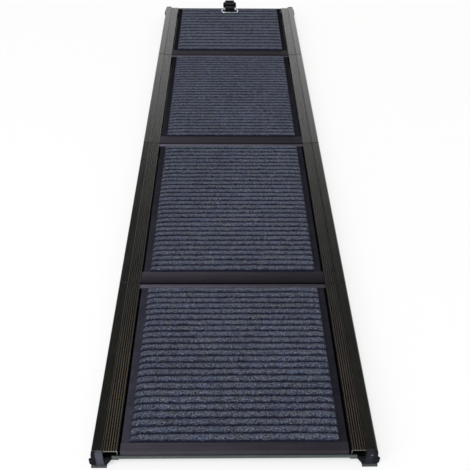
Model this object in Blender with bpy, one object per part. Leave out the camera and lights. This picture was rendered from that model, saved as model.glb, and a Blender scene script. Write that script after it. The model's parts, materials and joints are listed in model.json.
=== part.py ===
"""A folding dog ramp: four carpeted panels with aluminium side rails, hinged end to end underneath.

X runs across the ramp and Y up it, from the lower end to the upper end. Z is up, with the ramp lying
open and flat on its feet and Z = 0 at the floor. The pieces are drawn with the middle joint at Y = 0,
and the whole ramp is then moved so that the origin is under the middle of its overall length. Metres
throughout.
"""
import math

import bmesh
import bpy
from mathutils import Matrix, Vector

# Overall sizes
RAMP_WIDTH = 0.420
MIDDLE_LENGTH = 0.480
END_LENGTH = 0.352
RAIL_HEIGHT = 0.025
FOOT_DROP = 0.009
FIT_GAP = 0.0003

# Side rails: a smooth outer curb, a ridged tread beside it and a ledge that carries the board
CURB_WIDTH = 0.0164
CURB_ROUNDING = 0.002
TREAD_WIDTH = 0.022
TREAD_DROP = 0.001
RIDGE_COUNT = 6
RIDGE_HEIGHT = 0.001
RIDGE_FOOT = 0.48
RIDGE_CREST = 0.24
RAIL_WALL = 0.002
LEDGE_REACH = 0.0127
LEDGE_TOP = 0.0073
LEDGE_THICKNESS = 0.0025

# Boards, cross strips and carpets
SIDE_GROOVE = 0.0035
BOARD_THICKNESS = 0.0124
SIDE_BORDER = 0.0123
PANEL_GAP = 0.002
LOWER_STRIPS = {"lower_end": 0.015, "lower_middle": 0.030, "upper_middle": 0.030, "upper_end": 0.030}
UPPER_STRIP = 0.010
STRIP_THICKNESS = 0.0015
STRIP_WEB = 0.003
BOARD_INSET = 0.008
CARPET_BACKING = 0.0033
RIB_HEIGHT = 0.0026
CARPET_EDGE = 0.0005
RIB_COUNTS = {"lower_end": 24, "lower_middle": 30, "upper_middle": 30, "upper_end": 14}

# One rib of the carpet, as shares of its pitch and of its height
RIB_PROFILE = ((0.0, 0.0), (0.17, 0.25), (0.36, 0.92), (0.5, 1.0), (0.64, 0.92), (0.83, 0.25))

# Hinges
PIN_DEPTH = 0.0055
PIN_RADIUS = 0.00125
KNUCKLE_RADIUS = 0.00275
LEAF_LENGTH = 0.034
LEAF_THICKNESS = 0.0025
LEAF_WIDTH = 0.036
LEAF_MARGIN = 0.002
KNUCKLE_WIDTH = 0.012
STACK_CLEARANCE = 0.012

# Degrees round a barrel: from its top to where its round starts, and from level to where it meets its leaf
BARREL_START = 3
BARREL_STOP = 25

# End caps, feet and the nose strip
CAP_THICKNESS = 0.005
PAD_THICKNESS = 0.0035
PAD_LENGTH = 0.034
PAD_OVERHANG = 0.003
FOOT_WIDTH = 0.0205
FOOT_FLARE = 0.0025
GUSSET_REACH = 0.008
GUSSET_TOP = 0.0075
TONGUE_LENGTH = 0.014
BUMPER_REACH = 0.005
BUMPER_BOTTOM = -0.004
BUMPER_TOP = 0.007
NOSE_BOTTOM = 0.0053
NOSE_HEIGHT = 0.0068
NOSE_REACH = 0.002
NOSE_OVERLAP = 0.0095

# Tether: ring, webbing and side-release buckle
RING_WIDTH = 0.054
RING_LENGTH = 0.0265
RING_WIRE = 0.004
RING_CORNER = 0.006
RING_SETBACK = 0.0316
WEBBING_WIDTH = 0.030
WEBBING_THICKNESS = 0.0016
CLAMP_LENGTH = 0.005
CLAMP_THICKNESS = 0.0015
STUD_RADIUS = 0.0012
STUD_SPACING = 0.018
STUD_LENGTH = 0.0075
BUCKLE_DROOP = math.radians(4)
BUCKLE_WIDTH = 0.043
BUCKLE_THICKNESS = 0.0105
BUCKLE_WALL = 0.002
SOCKET_EDGE = 0.6
PLUG_EDGE = 0.8
SOCKET_LENGTH = 0.032
SOCKET_SIDE = 0.004
BUCKLE_BAR = 0.003
BUCKLE_SLOT = 0.0055
BUCKLE_SETOFF = 0.0075
PLUG_WIDTH = 0.038
PLUG_SHOULDER = 0.0045
PRONG_LENGTH = 0.021
PRONG_WIDTH = 0.0045
TAIL_LENGTH = 0.016
TAIL_DROOP = math.radians(30)

# Heights above the rails' underside, and places along the ramp, that follow from the sizes above
HALF_WIDTH = RAMP_WIDTH / 2
RAIL_INNER = HALF_WIDTH - CURB_WIDTH - TREAD_WIDTH
TREAD_TOP = RAIL_HEIGHT - TREAD_DROP
BOARD_BOTTOM = LEDGE_TOP + FIT_GAP
BOARD_TOP = BOARD_BOTTOM + BOARD_THICKNESS
BOARD_HALF = RAIL_INNER - SIDE_GROOVE
CARPET_BOTTOM = BOARD_TOP + FIT_GAP
CARPET_TOP = CARPET_BOTTOM + CARPET_BACKING + RIB_HEIGHT
CARPET_HALF = BOARD_HALF - SIDE_BORDER
STRIP_TOP = CARPET_BOTTOM + STRIP_THICKNESS
SPINE_PITCH = 2 * (PIN_DEPTH + RAIL_HEIGHT) + STACK_CLEARANCE
SOLE_BOTTOM = -FOOT_DROP + PAD_THICKNESS + FIT_GAP
RAMP_END = MIDDLE_LENGTH + END_LENGTH
PANELS = {
    "lower_end": (-RAMP_END, -MIDDLE_LENGTH),
    "lower_middle": (-MIDDLE_LENGTH, 0.0),
    "upper_middle": (0.0, MIDDLE_LENGTH),
    "upper_end": (MIDDLE_LENGTH, RAMP_END),
}
SIDES = {"left": -1, "right": 1}

# Finishes: colour, metallic, roughness
FINISHES = {
    "rail": ((0.030, 0.031, 0.030), 0.6, 0.38),
    "board": ((0.036, 0.035, 0.044), 0.0, 0.60),
    "strip": ((0.045, 0.043, 0.052), 0.3, 0.50),
    "carpet": ((0.075, 0.083, 0.105), 0.0, 0.95),
    "hinge": ((0.045, 0.045, 0.048), 0.9, 0.35),
    "pin": ((0.45, 0.45, 0.46), 1.0, 0.25),
    "cap": ((0.085, 0.080, 0.095), 0.0, 0.55),
    "pad": ((0.120, 0.135, 0.130), 0.0, 0.80),
    "nose": ((0.150, 0.170, 0.165), 0.0, 0.55),
    "ring": ((0.80, 0.80, 0.81), 1.0, 0.12),
    "webbing": ((0.012, 0.012, 0.013), 0.0, 0.85),
    "buckle": ((0.010, 0.010, 0.011), 0.0, 0.18),
    "clamp": ((0.020, 0.020, 0.021), 0.9, 0.40),
}


# Sides of round pieces
BAR_SIDES = 10
STUD_SIDES = 12
SHARP_ANGLE = math.radians(35)


def clear_scene():
    for old in list(bpy.data.objects):
        bpy.data.objects.remove(old, do_unlink=True)


def finish(name):
    """The material of one finish, made once."""
    found = bpy.data.materials.get(name)
    if found:
        return found
    colour, metallic, roughness = FINISHES[name]
    made = bpy.data.materials.new(name)
    made.use_nodes = True
    shader = made.node_tree.nodes["Principled BSDF"]
    shader.inputs["Base Color"].default_value = (*colour, 1.0)
    shader.inputs["Metallic"].default_value = metallic
    shader.inputs["Roughness"].default_value = roughness
    return made


def add_piece(name, look, bm, smooth=False):
    """One closed solid as a named object, with its faces pointing out."""
    bmesh.ops.recalc_face_normals(bm, faces=bm.faces)
    mesh = bpy.data.meshes.new(name)
    bm.to_mesh(mesh)
    bm.free()
    if smooth:
        mesh.shade_smooth()
        mesh.set_sharp_from_angle(angle=SHARP_ANGLE)
    mesh.materials.append(finish(look))
    piece = bpy.data.objects.new(name, mesh)
    bpy.context.scene.collection.objects.link(piece)
    return piece


def point(run, along, a, b):
    """A point of a section drawn across the run: XZ for a run along Y, YZ along X and XY along Z."""
    return Vector({"x": (along, a, b), "y": (a, along, b), "z": (a, b, along)}[run])


def prism(bm, run, outline, start, end, holes=()):
    """Adds a section, with its holes, carried from start to end along its run."""
    edges = []
    for loop in (outline, *holes):
        corners = [bm.verts.new(point(run, start, a, b)) for a, b in loop]
        edges += [bm.edges.new(pair) for pair in zip(corners, corners[1:] + corners[:1])]
    filled = bmesh.ops.triangle_fill(bm, use_beauty=True, edges=edges)["geom"]
    faces = [part for part in filled if isinstance(part, bmesh.types.BMFace)]
    swept = bmesh.ops.extrude_face_region(bm, geom=faces)["geom"]
    moved = [part for part in swept if isinstance(part, bmesh.types.BMVert)]
    bmesh.ops.translate(bm, verts=moved, vec=point(run, end - start, 0, 0))


def make_prism(name, look, run, outline, start, end, holes=(), smooth=False):
    bm = bmesh.new()
    prism(bm, run, outline, start, end, holes)
    return add_piece(name, look, bm, smooth)


def box(bm, low, high):
    size = Vector(high) - Vector(low)
    centre = (Vector(high) + Vector(low)) / 2
    bmesh.ops.create_cube(bm, size=1, matrix=Matrix.Translation(centre) @ Matrix.Diagonal((*size, 1)))


def rod(bm, start, end, radius, sides):
    """A round bar from start to end."""
    start = Vector(start)
    run = Vector(end) - start
    turn = Vector((0, 0, 1)).rotation_difference(run).to_matrix().to_4x4()
    place = Matrix.Translation(start + run / 2) @ turn
    bmesh.ops.create_cone(bm, cap_ends=True, segments=sides, radius1=radius, radius2=radius,
                          depth=run.length, matrix=place)


def arc(centre, radius, first, last, steps):
    """Points along an arc between two angles in degrees."""
    angles = [math.radians(first + (last - first) * n / steps) for n in range(steps + 1)]
    return [(centre[0] + radius * math.cos(a), centre[1] + radius * math.sin(a)) for a in angles]


def circle(centre, radius, sides):
    return arc(centre, radius, 0, 360, sides)[:-1]


def rectangle(low, high):
    return [(low[0], low[1]), (high[0], low[1]), (high[0], high[1]), (low[0], high[1])]


def combine(piece, name, fill, operation):
    """Joins a hidden helper solid to a piece, or cuts the piece with it. fill builds its mesh."""
    bm = bmesh.new()
    fill(bm)
    helper = add_piece(name, "clamp", bm)
    helper.parent = piece
    helper.hide_render = True
    helper.display_type = "WIRE"
    change = piece.modifiers.new(name, "BOOLEAN")
    change.operation = operation
    change.solver = "EXACT"
    change.object = helper


def add_pivot(name, place, parent=None):
    """An empty on a joint's axis, which carries every piece that turns or slides there."""
    pivot = bpy.data.objects.new(name, None)
    pivot.empty_display_size = 0.02
    pivot.location = Vector(place) - (Vector(parent["place"]) if parent else Vector())
    pivot["place"] = place
    pivot.parent = parent
    bpy.context.scene.collection.objects.link(pivot)
    return pivot


def carry(pivot, pieces):
    for piece in pieces:
        piece.parent = pivot
        piece.location = -Vector(pivot["place"])


def height(above_underside):
    """World height of something measured from the rails' underside."""
    return FOOT_DROP + above_underside


def panel_ends(panel):
    """Where a panel's rails start and end: half a fit gap short of a joint, and flush at a free end."""
    low, high = PANELS[panel]
    low_gap = FIT_GAP / 2 if panel != "lower_end" else 0.0
    high_gap = FIT_GAP / 2 if panel != "upper_end" else 0.0
    return low + low_gap, high - high_gap


def deck_ends(panel):
    """Where a panel's cross strips start and end: short of a joint by the panel gap."""
    low, high = PANELS[panel]
    return (low + (PANEL_GAP if panel != "lower_end" else 0.0),
            high - (PANEL_GAP if panel != "upper_end" else 0.0))


def rail_outline(side):
    """The rail's section in XZ, outer face last, with its ridged tread."""
    curb_inner = HALF_WIDTH - CURB_WIDTH
    under, top, tread = height(0), height(RAIL_HEIGHT), height(TREAD_TOP - RIDGE_HEIGHT)
    rounding = CURB_ROUNDING
    ledge_bottom = height(LEDGE_TOP - LEDGE_THICKNESS)
    pitch = TREAD_WIDTH / RIDGE_COUNT
    points = [(RAIL_INNER, under), (RAIL_INNER, ledge_bottom), (RAIL_INNER - LEDGE_REACH, ledge_bottom),
              (RAIL_INNER - LEDGE_REACH, height(LEDGE_TOP)), (RAIL_INNER, height(LEDGE_TOP)),
              (RAIL_INNER, tread)]
    for ridge in range(RIDGE_COUNT):
        middle = RAIL_INNER + (ridge + 0.5) * pitch
        foot, crest = RIDGE_FOOT / 2 * pitch, RIDGE_CREST / 2 * pitch
        points += [(middle - foot, tread), (middle - crest, tread + RIDGE_HEIGHT),
                   (middle + crest, tread + RIDGE_HEIGHT), (middle + foot, tread)]
    points.append((curb_inner, tread))
    inner_rounding = (top - tread) / 2
    points += arc((curb_inner + inner_rounding, top - inner_rounding), inner_rounding, 180, 90, 2)
    points += arc((HALF_WIDTH - rounding, top - rounding), rounding, 90, 0, 3)
    points += arc((HALF_WIDTH - rounding / 2, under + rounding / 2), rounding / 2, 0, -90, 2)
    return [(side * x, z) for x, z in points]


def rail_chambers(side):
    """The two hollows of the rail's section: one inside the curb, one under the tread."""
    curb_inner = HALF_WIDTH - CURB_WIDTH
    floor = height(RAIL_WALL)
    curb = rectangle((curb_inner + RAIL_WALL, floor),
                     (HALF_WIDTH - RAIL_WALL, height(RAIL_HEIGHT - RAIL_WALL)))
    tread = rectangle((RAIL_INNER + RAIL_WALL, floor),
                      (curb_inner, height(TREAD_TOP - RIDGE_HEIGHT - RAIL_WALL)))
    return [[(side * x, z) for x, z in hollow] for hollow in (curb, tread)]


def make_rail(panel, side_name):
    side = SIDES[side_name]
    low, high = panel_ends(panel)
    return make_prism(f"{panel}_{side_name}_rail", "rail", "y", rail_outline(side), low, high,
                      rail_chambers(side), smooth=True)


def make_board(panel):
    low, high = deck_ends(panel)
    section = rectangle((-BOARD_HALF, height(BOARD_BOTTOM)), (BOARD_HALF, height(BOARD_TOP)))
    return make_prism(f"{panel}_board", "board", "y", section, low + BOARD_INSET, high - BOARD_INSET)


def make_strip(panel, end_name):
    """The angle section over a board's end: a web down to the ledges and a flange over the board."""
    low, high = deck_ends(panel)
    lower = LOWER_STRIPS[panel]
    start, inward, reach = (low, 1, lower) if end_name == "lower" else (high, -1, UPPER_STRIP)
    bottom, under_flange, top = height(BOARD_BOTTOM), height(CARPET_BOTTOM), height(STRIP_TOP)
    chamfer = STRIP_THICKNESS / 2
    section = [(0, bottom), (STRIP_WEB, bottom), (STRIP_WEB, under_flange), (reach, under_flange),
               (reach, top), (chamfer, top), (0, top - chamfer)]
    # Only the ramp's lowest strip leaves the grooves beside the board open
    half = BOARD_HALF if (panel, end_name) == ("lower_end", "lower") else RAIL_INNER - FIT_GAP
    strip = make_prism(f"{panel}_{end_name}_strip", "strip", "x",
                       [(start + inward * y, z) for y, z in section], -half, half)
    if panel == "upper_end" and end_name == "upper":
        combine(strip, "cutter_stud_holes", add_stud_holes, "DIFFERENCE")
    return strip


def make_carpet(panel):
    """A ribbed carpet between the two strips, its ribs running across the ramp."""
    low, high = deck_ends(panel)
    start = low + LOWER_STRIPS[panel] + CARPET_EDGE
    end = high - UPPER_STRIP - CARPET_EDGE
    bottom = height(CARPET_BOTTOM)
    ground = bottom + CARPET_BACKING
    pitch = (end - start) / RIB_COUNTS[panel]
    section = [(end, bottom), (start, bottom)]
    for rib in range(RIB_COUNTS[panel]):
        for share, rise in RIB_PROFILE:
            section.append((start + (rib + share) * pitch, ground + rise * RIB_HEIGHT))
    section.append((end, ground))
    return make_prism(f"{panel}_carpet", "carpet", "x", section, -CARPET_HALF, CARPET_HALF, smooth=True)


def hinge_span(side):
    """The X range of one hinge, under the rail."""
    outer = HALF_WIDTH - LEAF_MARGIN
    return sorted((side * (outer - LEAF_WIDTH), side * outer))


def middle_knuckle(side):
    """The X range left for the middle knuckle of a hinge."""
    low, high = hinge_span(side)
    middle = (low + high) / 2
    return middle - KNUCKLE_WIDTH / 2, middle + KNUCKLE_WIDTH / 2


def at_pin(section, pin_y):
    """Moves a YZ section drawn around a pin to where that pin is."""
    return [(pin_y + y, height(-PIN_DEPTH) + z) for y, z in section]


def bore(pin_y):
    return at_pin(circle((0, 0), PIN_RADIUS + FIT_GAP, BAR_SIDES), pin_y)


def leaf_section(direction):
    """A leaf's YZ section around its pin: a plate just under the rail and a barrel round the pin."""
    top = PIN_DEPTH - FIT_GAP
    bottom = top - LEAF_THICKNESS
    barrel = arc((0, 0), KNUCKLE_RADIUS, 90 - BARREL_START, 360 + BARREL_STOP, 11)
    section = [(LEAF_LENGTH, top), (FIT_GAP / 2, top), *barrel,
               (KNUCKLE_RADIUS + LEAF_THICKNESS, bottom), (LEAF_LENGTH, bottom)]
    return [(direction * y, z) for y, z in section]


def add_notches(bm, spans, pin_y, direction):
    """Slots in a barrel for the other half's knuckles. direction is from the pin into the piece."""
    near = pin_y - direction * 2 * KNUCKLE_RADIUS
    far = pin_y + direction * (KNUCKLE_RADIUS + 2 * FIT_GAP)
    low, high = sorted((near, far))
    for start, end in spans:
        box(bm, (start, low, height(-2 * PIN_DEPTH)), (end, high, height(PIN_DEPTH)))


def side_notches(side):
    """The X ranges where a barrel makes room for the knuckles at both ends of a hinge."""
    low, high = hinge_span(side)
    first, last = middle_knuckle(side)
    return [(low - 2 * FIT_GAP, first + FIT_GAP), (last - FIT_GAP, high + 2 * FIT_GAP)]


def make_leaf(name, pin_y, direction, side, has_middle):
    """One hinge leaf, with either the middle knuckle or the two beside it."""
    low, high = hinge_span(side)
    section = at_pin(leaf_section(direction), pin_y)
    leaf = make_prism(name, "hinge", "x", section, low, high, [bore(pin_y)])
    spans = side_notches(side) if has_middle else [middle_knuckle(side)]
    combine(leaf, f"cutter_{name}", lambda bm: add_notches(bm, spans, pin_y, direction), "DIFFERENCE")
    return leaf


def make_pin(name, pin_y, start, end):
    bm = bmesh.new()
    z = height(-PIN_DEPTH)
    rod(bm, (start, pin_y, z), (end, pin_y, z), PIN_RADIUS, BAR_SIDES)
    return add_piece(name, "pin", bm, smooth=True)


def make_end_hinges(stem, pin_y, direction):
    """The left and right hinges of an end panel. direction points from the joint to the end panel."""
    fixed, moving = [], []
    for side_name, side in SIDES.items():
        name = f"{stem}_{side_name}"
        fixed.append(make_leaf(f"{name}_fixed_leaf", pin_y, -direction, side, has_middle=False))
        fixed.append(make_pin(f"{name}_pin", pin_y, *hinge_span(side)))
        moving.append(make_leaf(f"{name}_moving_leaf", pin_y, direction, side, has_middle=True))
    return fixed, moving


def make_spine():
    """The bar under the middle joint, with a barrel along both edges. The middle rails rest on it."""
    half = SPINE_PITCH / 2
    top = PIN_DEPTH - FIT_GAP
    upper_barrel = arc((half, 0), KNUCKLE_RADIUS, 90 + BARREL_START, -180, 10)
    lower_barrel = arc((-half, 0), KNUCKLE_RADIUS, 0, -270 - BARREL_START, 10)
    section = [(half - FIT_GAP / 2, top), *upper_barrel, *lower_barrel, (FIT_GAP / 2 - half, top)]
    end = HALF_WIDTH - LEAF_MARGIN
    bores = [bore(half), bore(-half)]
    spine = make_prism("spine_bar", "hinge", "x", at_pin(section, 0), -end, end, bores)

    def fill(bm):
        for direction in (-1, 1):
            for side in SIDES.values():
                add_notches(bm, side_notches(side), -direction * half, direction)

    combine(spine, "cutter_spine_bar", fill, "DIFFERENCE")
    pins = [make_pin("spine_lower_pin", -half, -end, end), make_pin("spine_upper_pin", half, -end, end)]
    return [spine, *pins]


def make_spine_leaves(name, direction):
    """The two leaves that hang a middle panel on the spine."""
    pin_y = direction * SPINE_PITCH / 2
    return [make_leaf(f"spine_{side_name}_{name}_leaf", pin_y, direction, side, has_middle=False)
            for side_name, side in SIDES.items()]


def leg_inner(above_underside):
    """How far out a leg's slanted inner side is, at a height above the rails' underside."""
    share = (above_underside - SOLE_BOTTOM) / (GUSSET_TOP - SOLE_BOTTOM)
    return HALF_WIDTH - FOOT_WIDTH - GUSSET_REACH * share


def cap_section(side):
    """An end cap's XZ outline: a cover for the curb's end, on a leg with a slanted inner side."""
    top = height(RAIL_HEIGHT)
    rounding = CURB_ROUNDING
    curb_inner = HALF_WIDTH - CURB_WIDTH
    points = [(leg_inner(SOLE_BOTTOM), height(SOLE_BOTTOM)), (leg_inner(GUSSET_TOP), height(GUSSET_TOP)),
              (curb_inner, height(GUSSET_TOP)), (curb_inner, top)]
    points += arc((HALF_WIDTH - rounding, top - rounding), rounding, 90, 0, 2)
    points.append((HALF_WIDTH + FOOT_FLARE, height(SOLE_BOTTOM)))
    return [(side * x, z) for x, z in points]


def sole_section(side):
    """The block behind an end cap, under the rail, in XZ: its inner side slants out to the foot."""
    outer = HALF_WIDTH - FIT_GAP
    return [(side * x, height(z)) for x, z in (
        (outer, -FIT_GAP), (outer, SOLE_BOTTOM), (leg_inner(SOLE_BOTTOM) + FIT_GAP, SOLE_BOTTOM),
        (leg_inner(-FIT_GAP) + FIT_GAP, -FIT_GAP))]


def spread(side, outward, low, high):
    """A box's two corners: x is inward of the rail's outer face, and y is outward of the ramp's end."""
    xs = sorted(side * (HALF_WIDTH - inward) for inward in (low[0], high[0]))
    ys = sorted(outward * (RAMP_END + beyond) for beyond in (low[1], high[1]))
    return (xs[0], ys[0], height(low[2])), (xs[1], ys[1], height(high[2]))


def make_cap(name, outward, side):
    """An end cap: a face on the curb's end, a tongue in the curb, a sole and a side bumper."""
    back, front = outward * (RAMP_END + FIT_GAP), outward * (RAMP_END + CAP_THICKNESS)
    cap = make_prism(name, "cap", "y", cap_section(side), back, front)
    hollow = RAIL_WALL + FIT_GAP
    overlap = CAP_THICKNESS / 2
    sole_start = PAD_OVERHANG + CAP_THICKNESS - PAD_LENGTH
    sole = [outward * (RAMP_END + y) for y in (sole_start, overlap)]
    tongue = spread(side, outward, (hollow, -TONGUE_LENGTH, hollow),
                    (CURB_WIDTH - hollow, overlap, RAIL_HEIGHT - hollow))
    combine(cap, f"helper_{name}_sole", lambda bm: prism(bm, "y", sole_section(side), *sole), "UNION")
    combine(cap, f"helper_{name}_tongue", lambda bm: box(bm, *tongue), "UNION")
    combine(cap, f"helper_{name}_bumper", lambda bm: add_bumper(bm, outward, side), "UNION")
    return cap


def add_bumper(bm, outward, side):
    """The nub outside the cap, which keeps the rail off a wall: an XY outline with softened corners."""
    reach, chamfer = BUMPER_REACH, BUMPER_REACH / 4
    back, face = FIT_GAP * 2, CAP_THICKNESS - FIT_GAP
    outline = [(-BUMPER_REACH, back), (reach - chamfer, back), (reach, back + chamfer),
               (reach, face - chamfer), (reach - chamfer, face), (-BUMPER_REACH, face)]
    corners = [(side * (HALF_WIDTH + x), outward * (RAMP_END + y)) for x, y in outline]
    prism(bm, "z", corners, height(BUMPER_BOTTOM), height(BUMPER_TOP))


def make_pad(name, outward, side):
    """A rubber foot pad under the cap's sole, with a chamfered toe."""
    toe = CAP_THICKNESS + PAD_OVERHANG
    chamfer = PAD_THICKNESS / 2
    top = PAD_THICKNESS - FOOT_DROP
    outline = [(toe - PAD_LENGTH, -FOOT_DROP), (toe, -FOOT_DROP), (toe, top - chamfer),
               (toe - chamfer, top), (toe - PAD_LENGTH, top)]
    section = [(outward * (RAMP_END + y), height(z)) for y, z in outline]
    low, high = sorted((side * (HALF_WIDTH - FOOT_WIDTH), side * (HALF_WIDTH + FOOT_FLARE)))
    return make_prism(name, "pad", "x", section, low, high)


def make_feet(panel, outward):
    pieces = []
    for side_name, side in SIDES.items():
        pieces.append(make_cap(f"{panel}_{side_name}_cap", outward, side))
        pieces.append(make_pad(f"{panel}_{side_name}_foot_pad", outward, side))
    return pieces


def make_nose():
    """The soft edge across the lower end, over the strip's web and the inner part of the rails' ends."""
    back = RAMP_END + FIT_GAP
    bottom, top = NOSE_BOTTOM, NOSE_BOTTOM + NOSE_HEIGHT
    chamfer = NOSE_REACH / 2
    outline = [(back, bottom), (back, top), (back + NOSE_REACH - chamfer, top),
               (back + NOSE_REACH, top - chamfer), (back + NOSE_REACH, bottom + chamfer),
               (back + NOSE_REACH - chamfer, bottom)]
    half = RAIL_INNER + NOSE_OVERLAP
    return make_prism("nose_strip", "nose", "x", [(-y, height(z)) for y, z in outline], -half, half)


def ring_loop_radius():
    """Outer radius of the webbing's loop round the ring's far bar."""
    return RING_WIRE / 2 + FIT_GAP + WEBBING_THICKNESS


def ring_bars():
    """The YZ centres of the ring's cross bars: the far one, in its loop, and the near one, on the carpet."""
    ground = height(CARPET_TOP + FIT_GAP)
    far = RAMP_END - RING_SETBACK
    return (far, ground + ring_loop_radius()), (far - RING_LENGTH + RING_WIRE, ground + RING_WIRE / 2)


def make_ring():
    """A rectangular ring of round wire, as a closed tube along a rounded rectangle that tilts a little."""
    (far, far_z), (near, near_z) = ring_bars()
    slope = (far_z - near_z) / (far - near)
    half = (RING_WIDTH - RING_WIRE) / 2
    path = []
    corners = ((1, far, -1, 0), (-1, far, -1, 90), (-1, near, 1, 180), (1, near, 1, 270))
    for x, y, inward, first in corners:
        centre = (x * (half - RING_CORNER), y + inward * RING_CORNER)
        path += arc(centre, RING_CORNER, first, first + 90, 3)
    curve = bpy.data.curves.new("tether_ring", "CURVE")
    curve.dimensions = "3D"
    curve.bevel_depth = RING_WIRE / 2
    curve.bevel_resolution = 2
    spline = curve.splines.new("POLY")
    spline.points.add(len(path) - 1)
    for corner, (x, y) in zip(spline.points, path):
        corner.co = (x, y, near_z + (y - near) * slope, 1)
    spline.use_cyclic_u = True
    curve.materials.append(finish("ring"))
    ring = bpy.data.objects.new("tether_ring", curve)
    bpy.context.scene.collection.objects.link(ring)
    return ring


def buckle_origin():
    """The YZ centre of the socket's bar, where the drooping webbing holds it."""
    clamped = height(STRIP_TOP + FIT_GAP + WEBBING_THICKNESS)
    return RAMP_END + BUCKLE_SETOFF, clamped - BUCKLE_SETOFF * math.tan(BUCKLE_DROOP)


def buckle_place():
    """Carries a buckle drawn flat, with its webbing bar at the origin, to its drooping place."""
    y, z = buckle_origin()
    return Matrix.Translation((0, y, z)) @ Matrix.Rotation(-BUCKLE_DROOP, 4, "X")


def place_on_buckle(bm):
    bmesh.ops.transform(bm, matrix=buckle_place(), verts=bm.verts)


def bar_loop_radius():
    """Outer radius of webbing that runs round one of the buckle's bars."""
    return BUCKLE_BAR / 2 + FIT_GAP + WEBBING_THICKNESS


def clamp_span():
    """Where the clamp lies along the ramp."""
    middle = RAMP_END - CLAMP_LENGTH / 2 - FIT_GAP
    return middle - CLAMP_LENGTH / 2, middle + CLAMP_LENGTH / 2


def add_studs(bm, radius, extra=0.0):
    """The clamp's two studs, through the webbing and the cross strip."""
    top = height(STRIP_TOP + 2 * FIT_GAP + 2 * WEBBING_THICKNESS + CLAMP_THICKNESS / 2)
    y = sum(clamp_span()) / 2
    for side in SIDES.values():
        x = side * STUD_SPACING / 2
        rod(bm, (x, y, top - STUD_LENGTH - extra), (x, y, top + extra), radius, STUD_SIDES)


def add_stud_holes(bm):
    add_studs(bm, STUD_RADIUS + FIT_GAP, FIT_GAP)


def make_webbing():
    """The webbing: a loop round the ring's far bar, two layers under the clamp, and the socket's loop."""
    far_y, far_z = ring_bars()[0]
    end_y, end_z = buckle_origin()
    under = height(STRIP_TOP + FIT_GAP)
    over = under + 2 * WEBBING_THICKNESS
    # Where the webbing leaves the carpet's edge
    edge = RAMP_END - UPPER_STRIP
    on_carpet = height(CARPET_TOP + FIT_GAP)
    start, stop = clamp_span()
    droop = math.degrees(BUCKLE_DROOP)
    section = [*arc((far_y, far_z), ring_loop_radius(), 40, 270, 12), (edge, on_carpet),
               (start, under), (stop, under),
               *arc((end_y, end_z), bar_loop_radius(), -90 - droop, 90 - droop, 8),
               (stop, over), (start, over), (edge, on_carpet + 2 * WEBBING_THICKNESS)]
    holes = [circle((far_y, far_z), RING_WIRE / 2 + FIT_GAP, STUD_SIDES),
             circle((end_y, end_z), BUCKLE_BAR / 2 + FIT_GAP, BAR_SIDES)]
    half = WEBBING_WIDTH / 2
    webbing = make_prism("tether_webbing", "webbing", "x", section, -half, half, holes)
    combine(webbing, "cutter_tether_webbing", add_stud_holes, "DIFFERENCE")
    return webbing


def make_clamp():
    """The plate on the webbing, whose studs go down through the cross strip."""
    start, stop = clamp_span()
    bottom = height(STRIP_TOP + 2 * FIT_GAP + 2 * WEBBING_THICKNESS)
    half = WEBBING_WIDTH / 2 - STUD_RADIUS
    bm = bmesh.new()
    box(bm, (-half, start, bottom), (half, stop, bottom + CLAMP_THICKNESS))
    clamp = add_piece("tether_clamp", "clamp", bm)
    combine(clamp, "helper_tether_clamp_studs", lambda bm: add_studs(bm, STUD_RADIUS), "UNION")
    return clamp


def mirrored(outline):
    """A plan outline from its right half, drawn from the far end to the near end."""
    return outline + [(-x, y) for x, y in reversed(outline) if x > 0]


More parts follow.
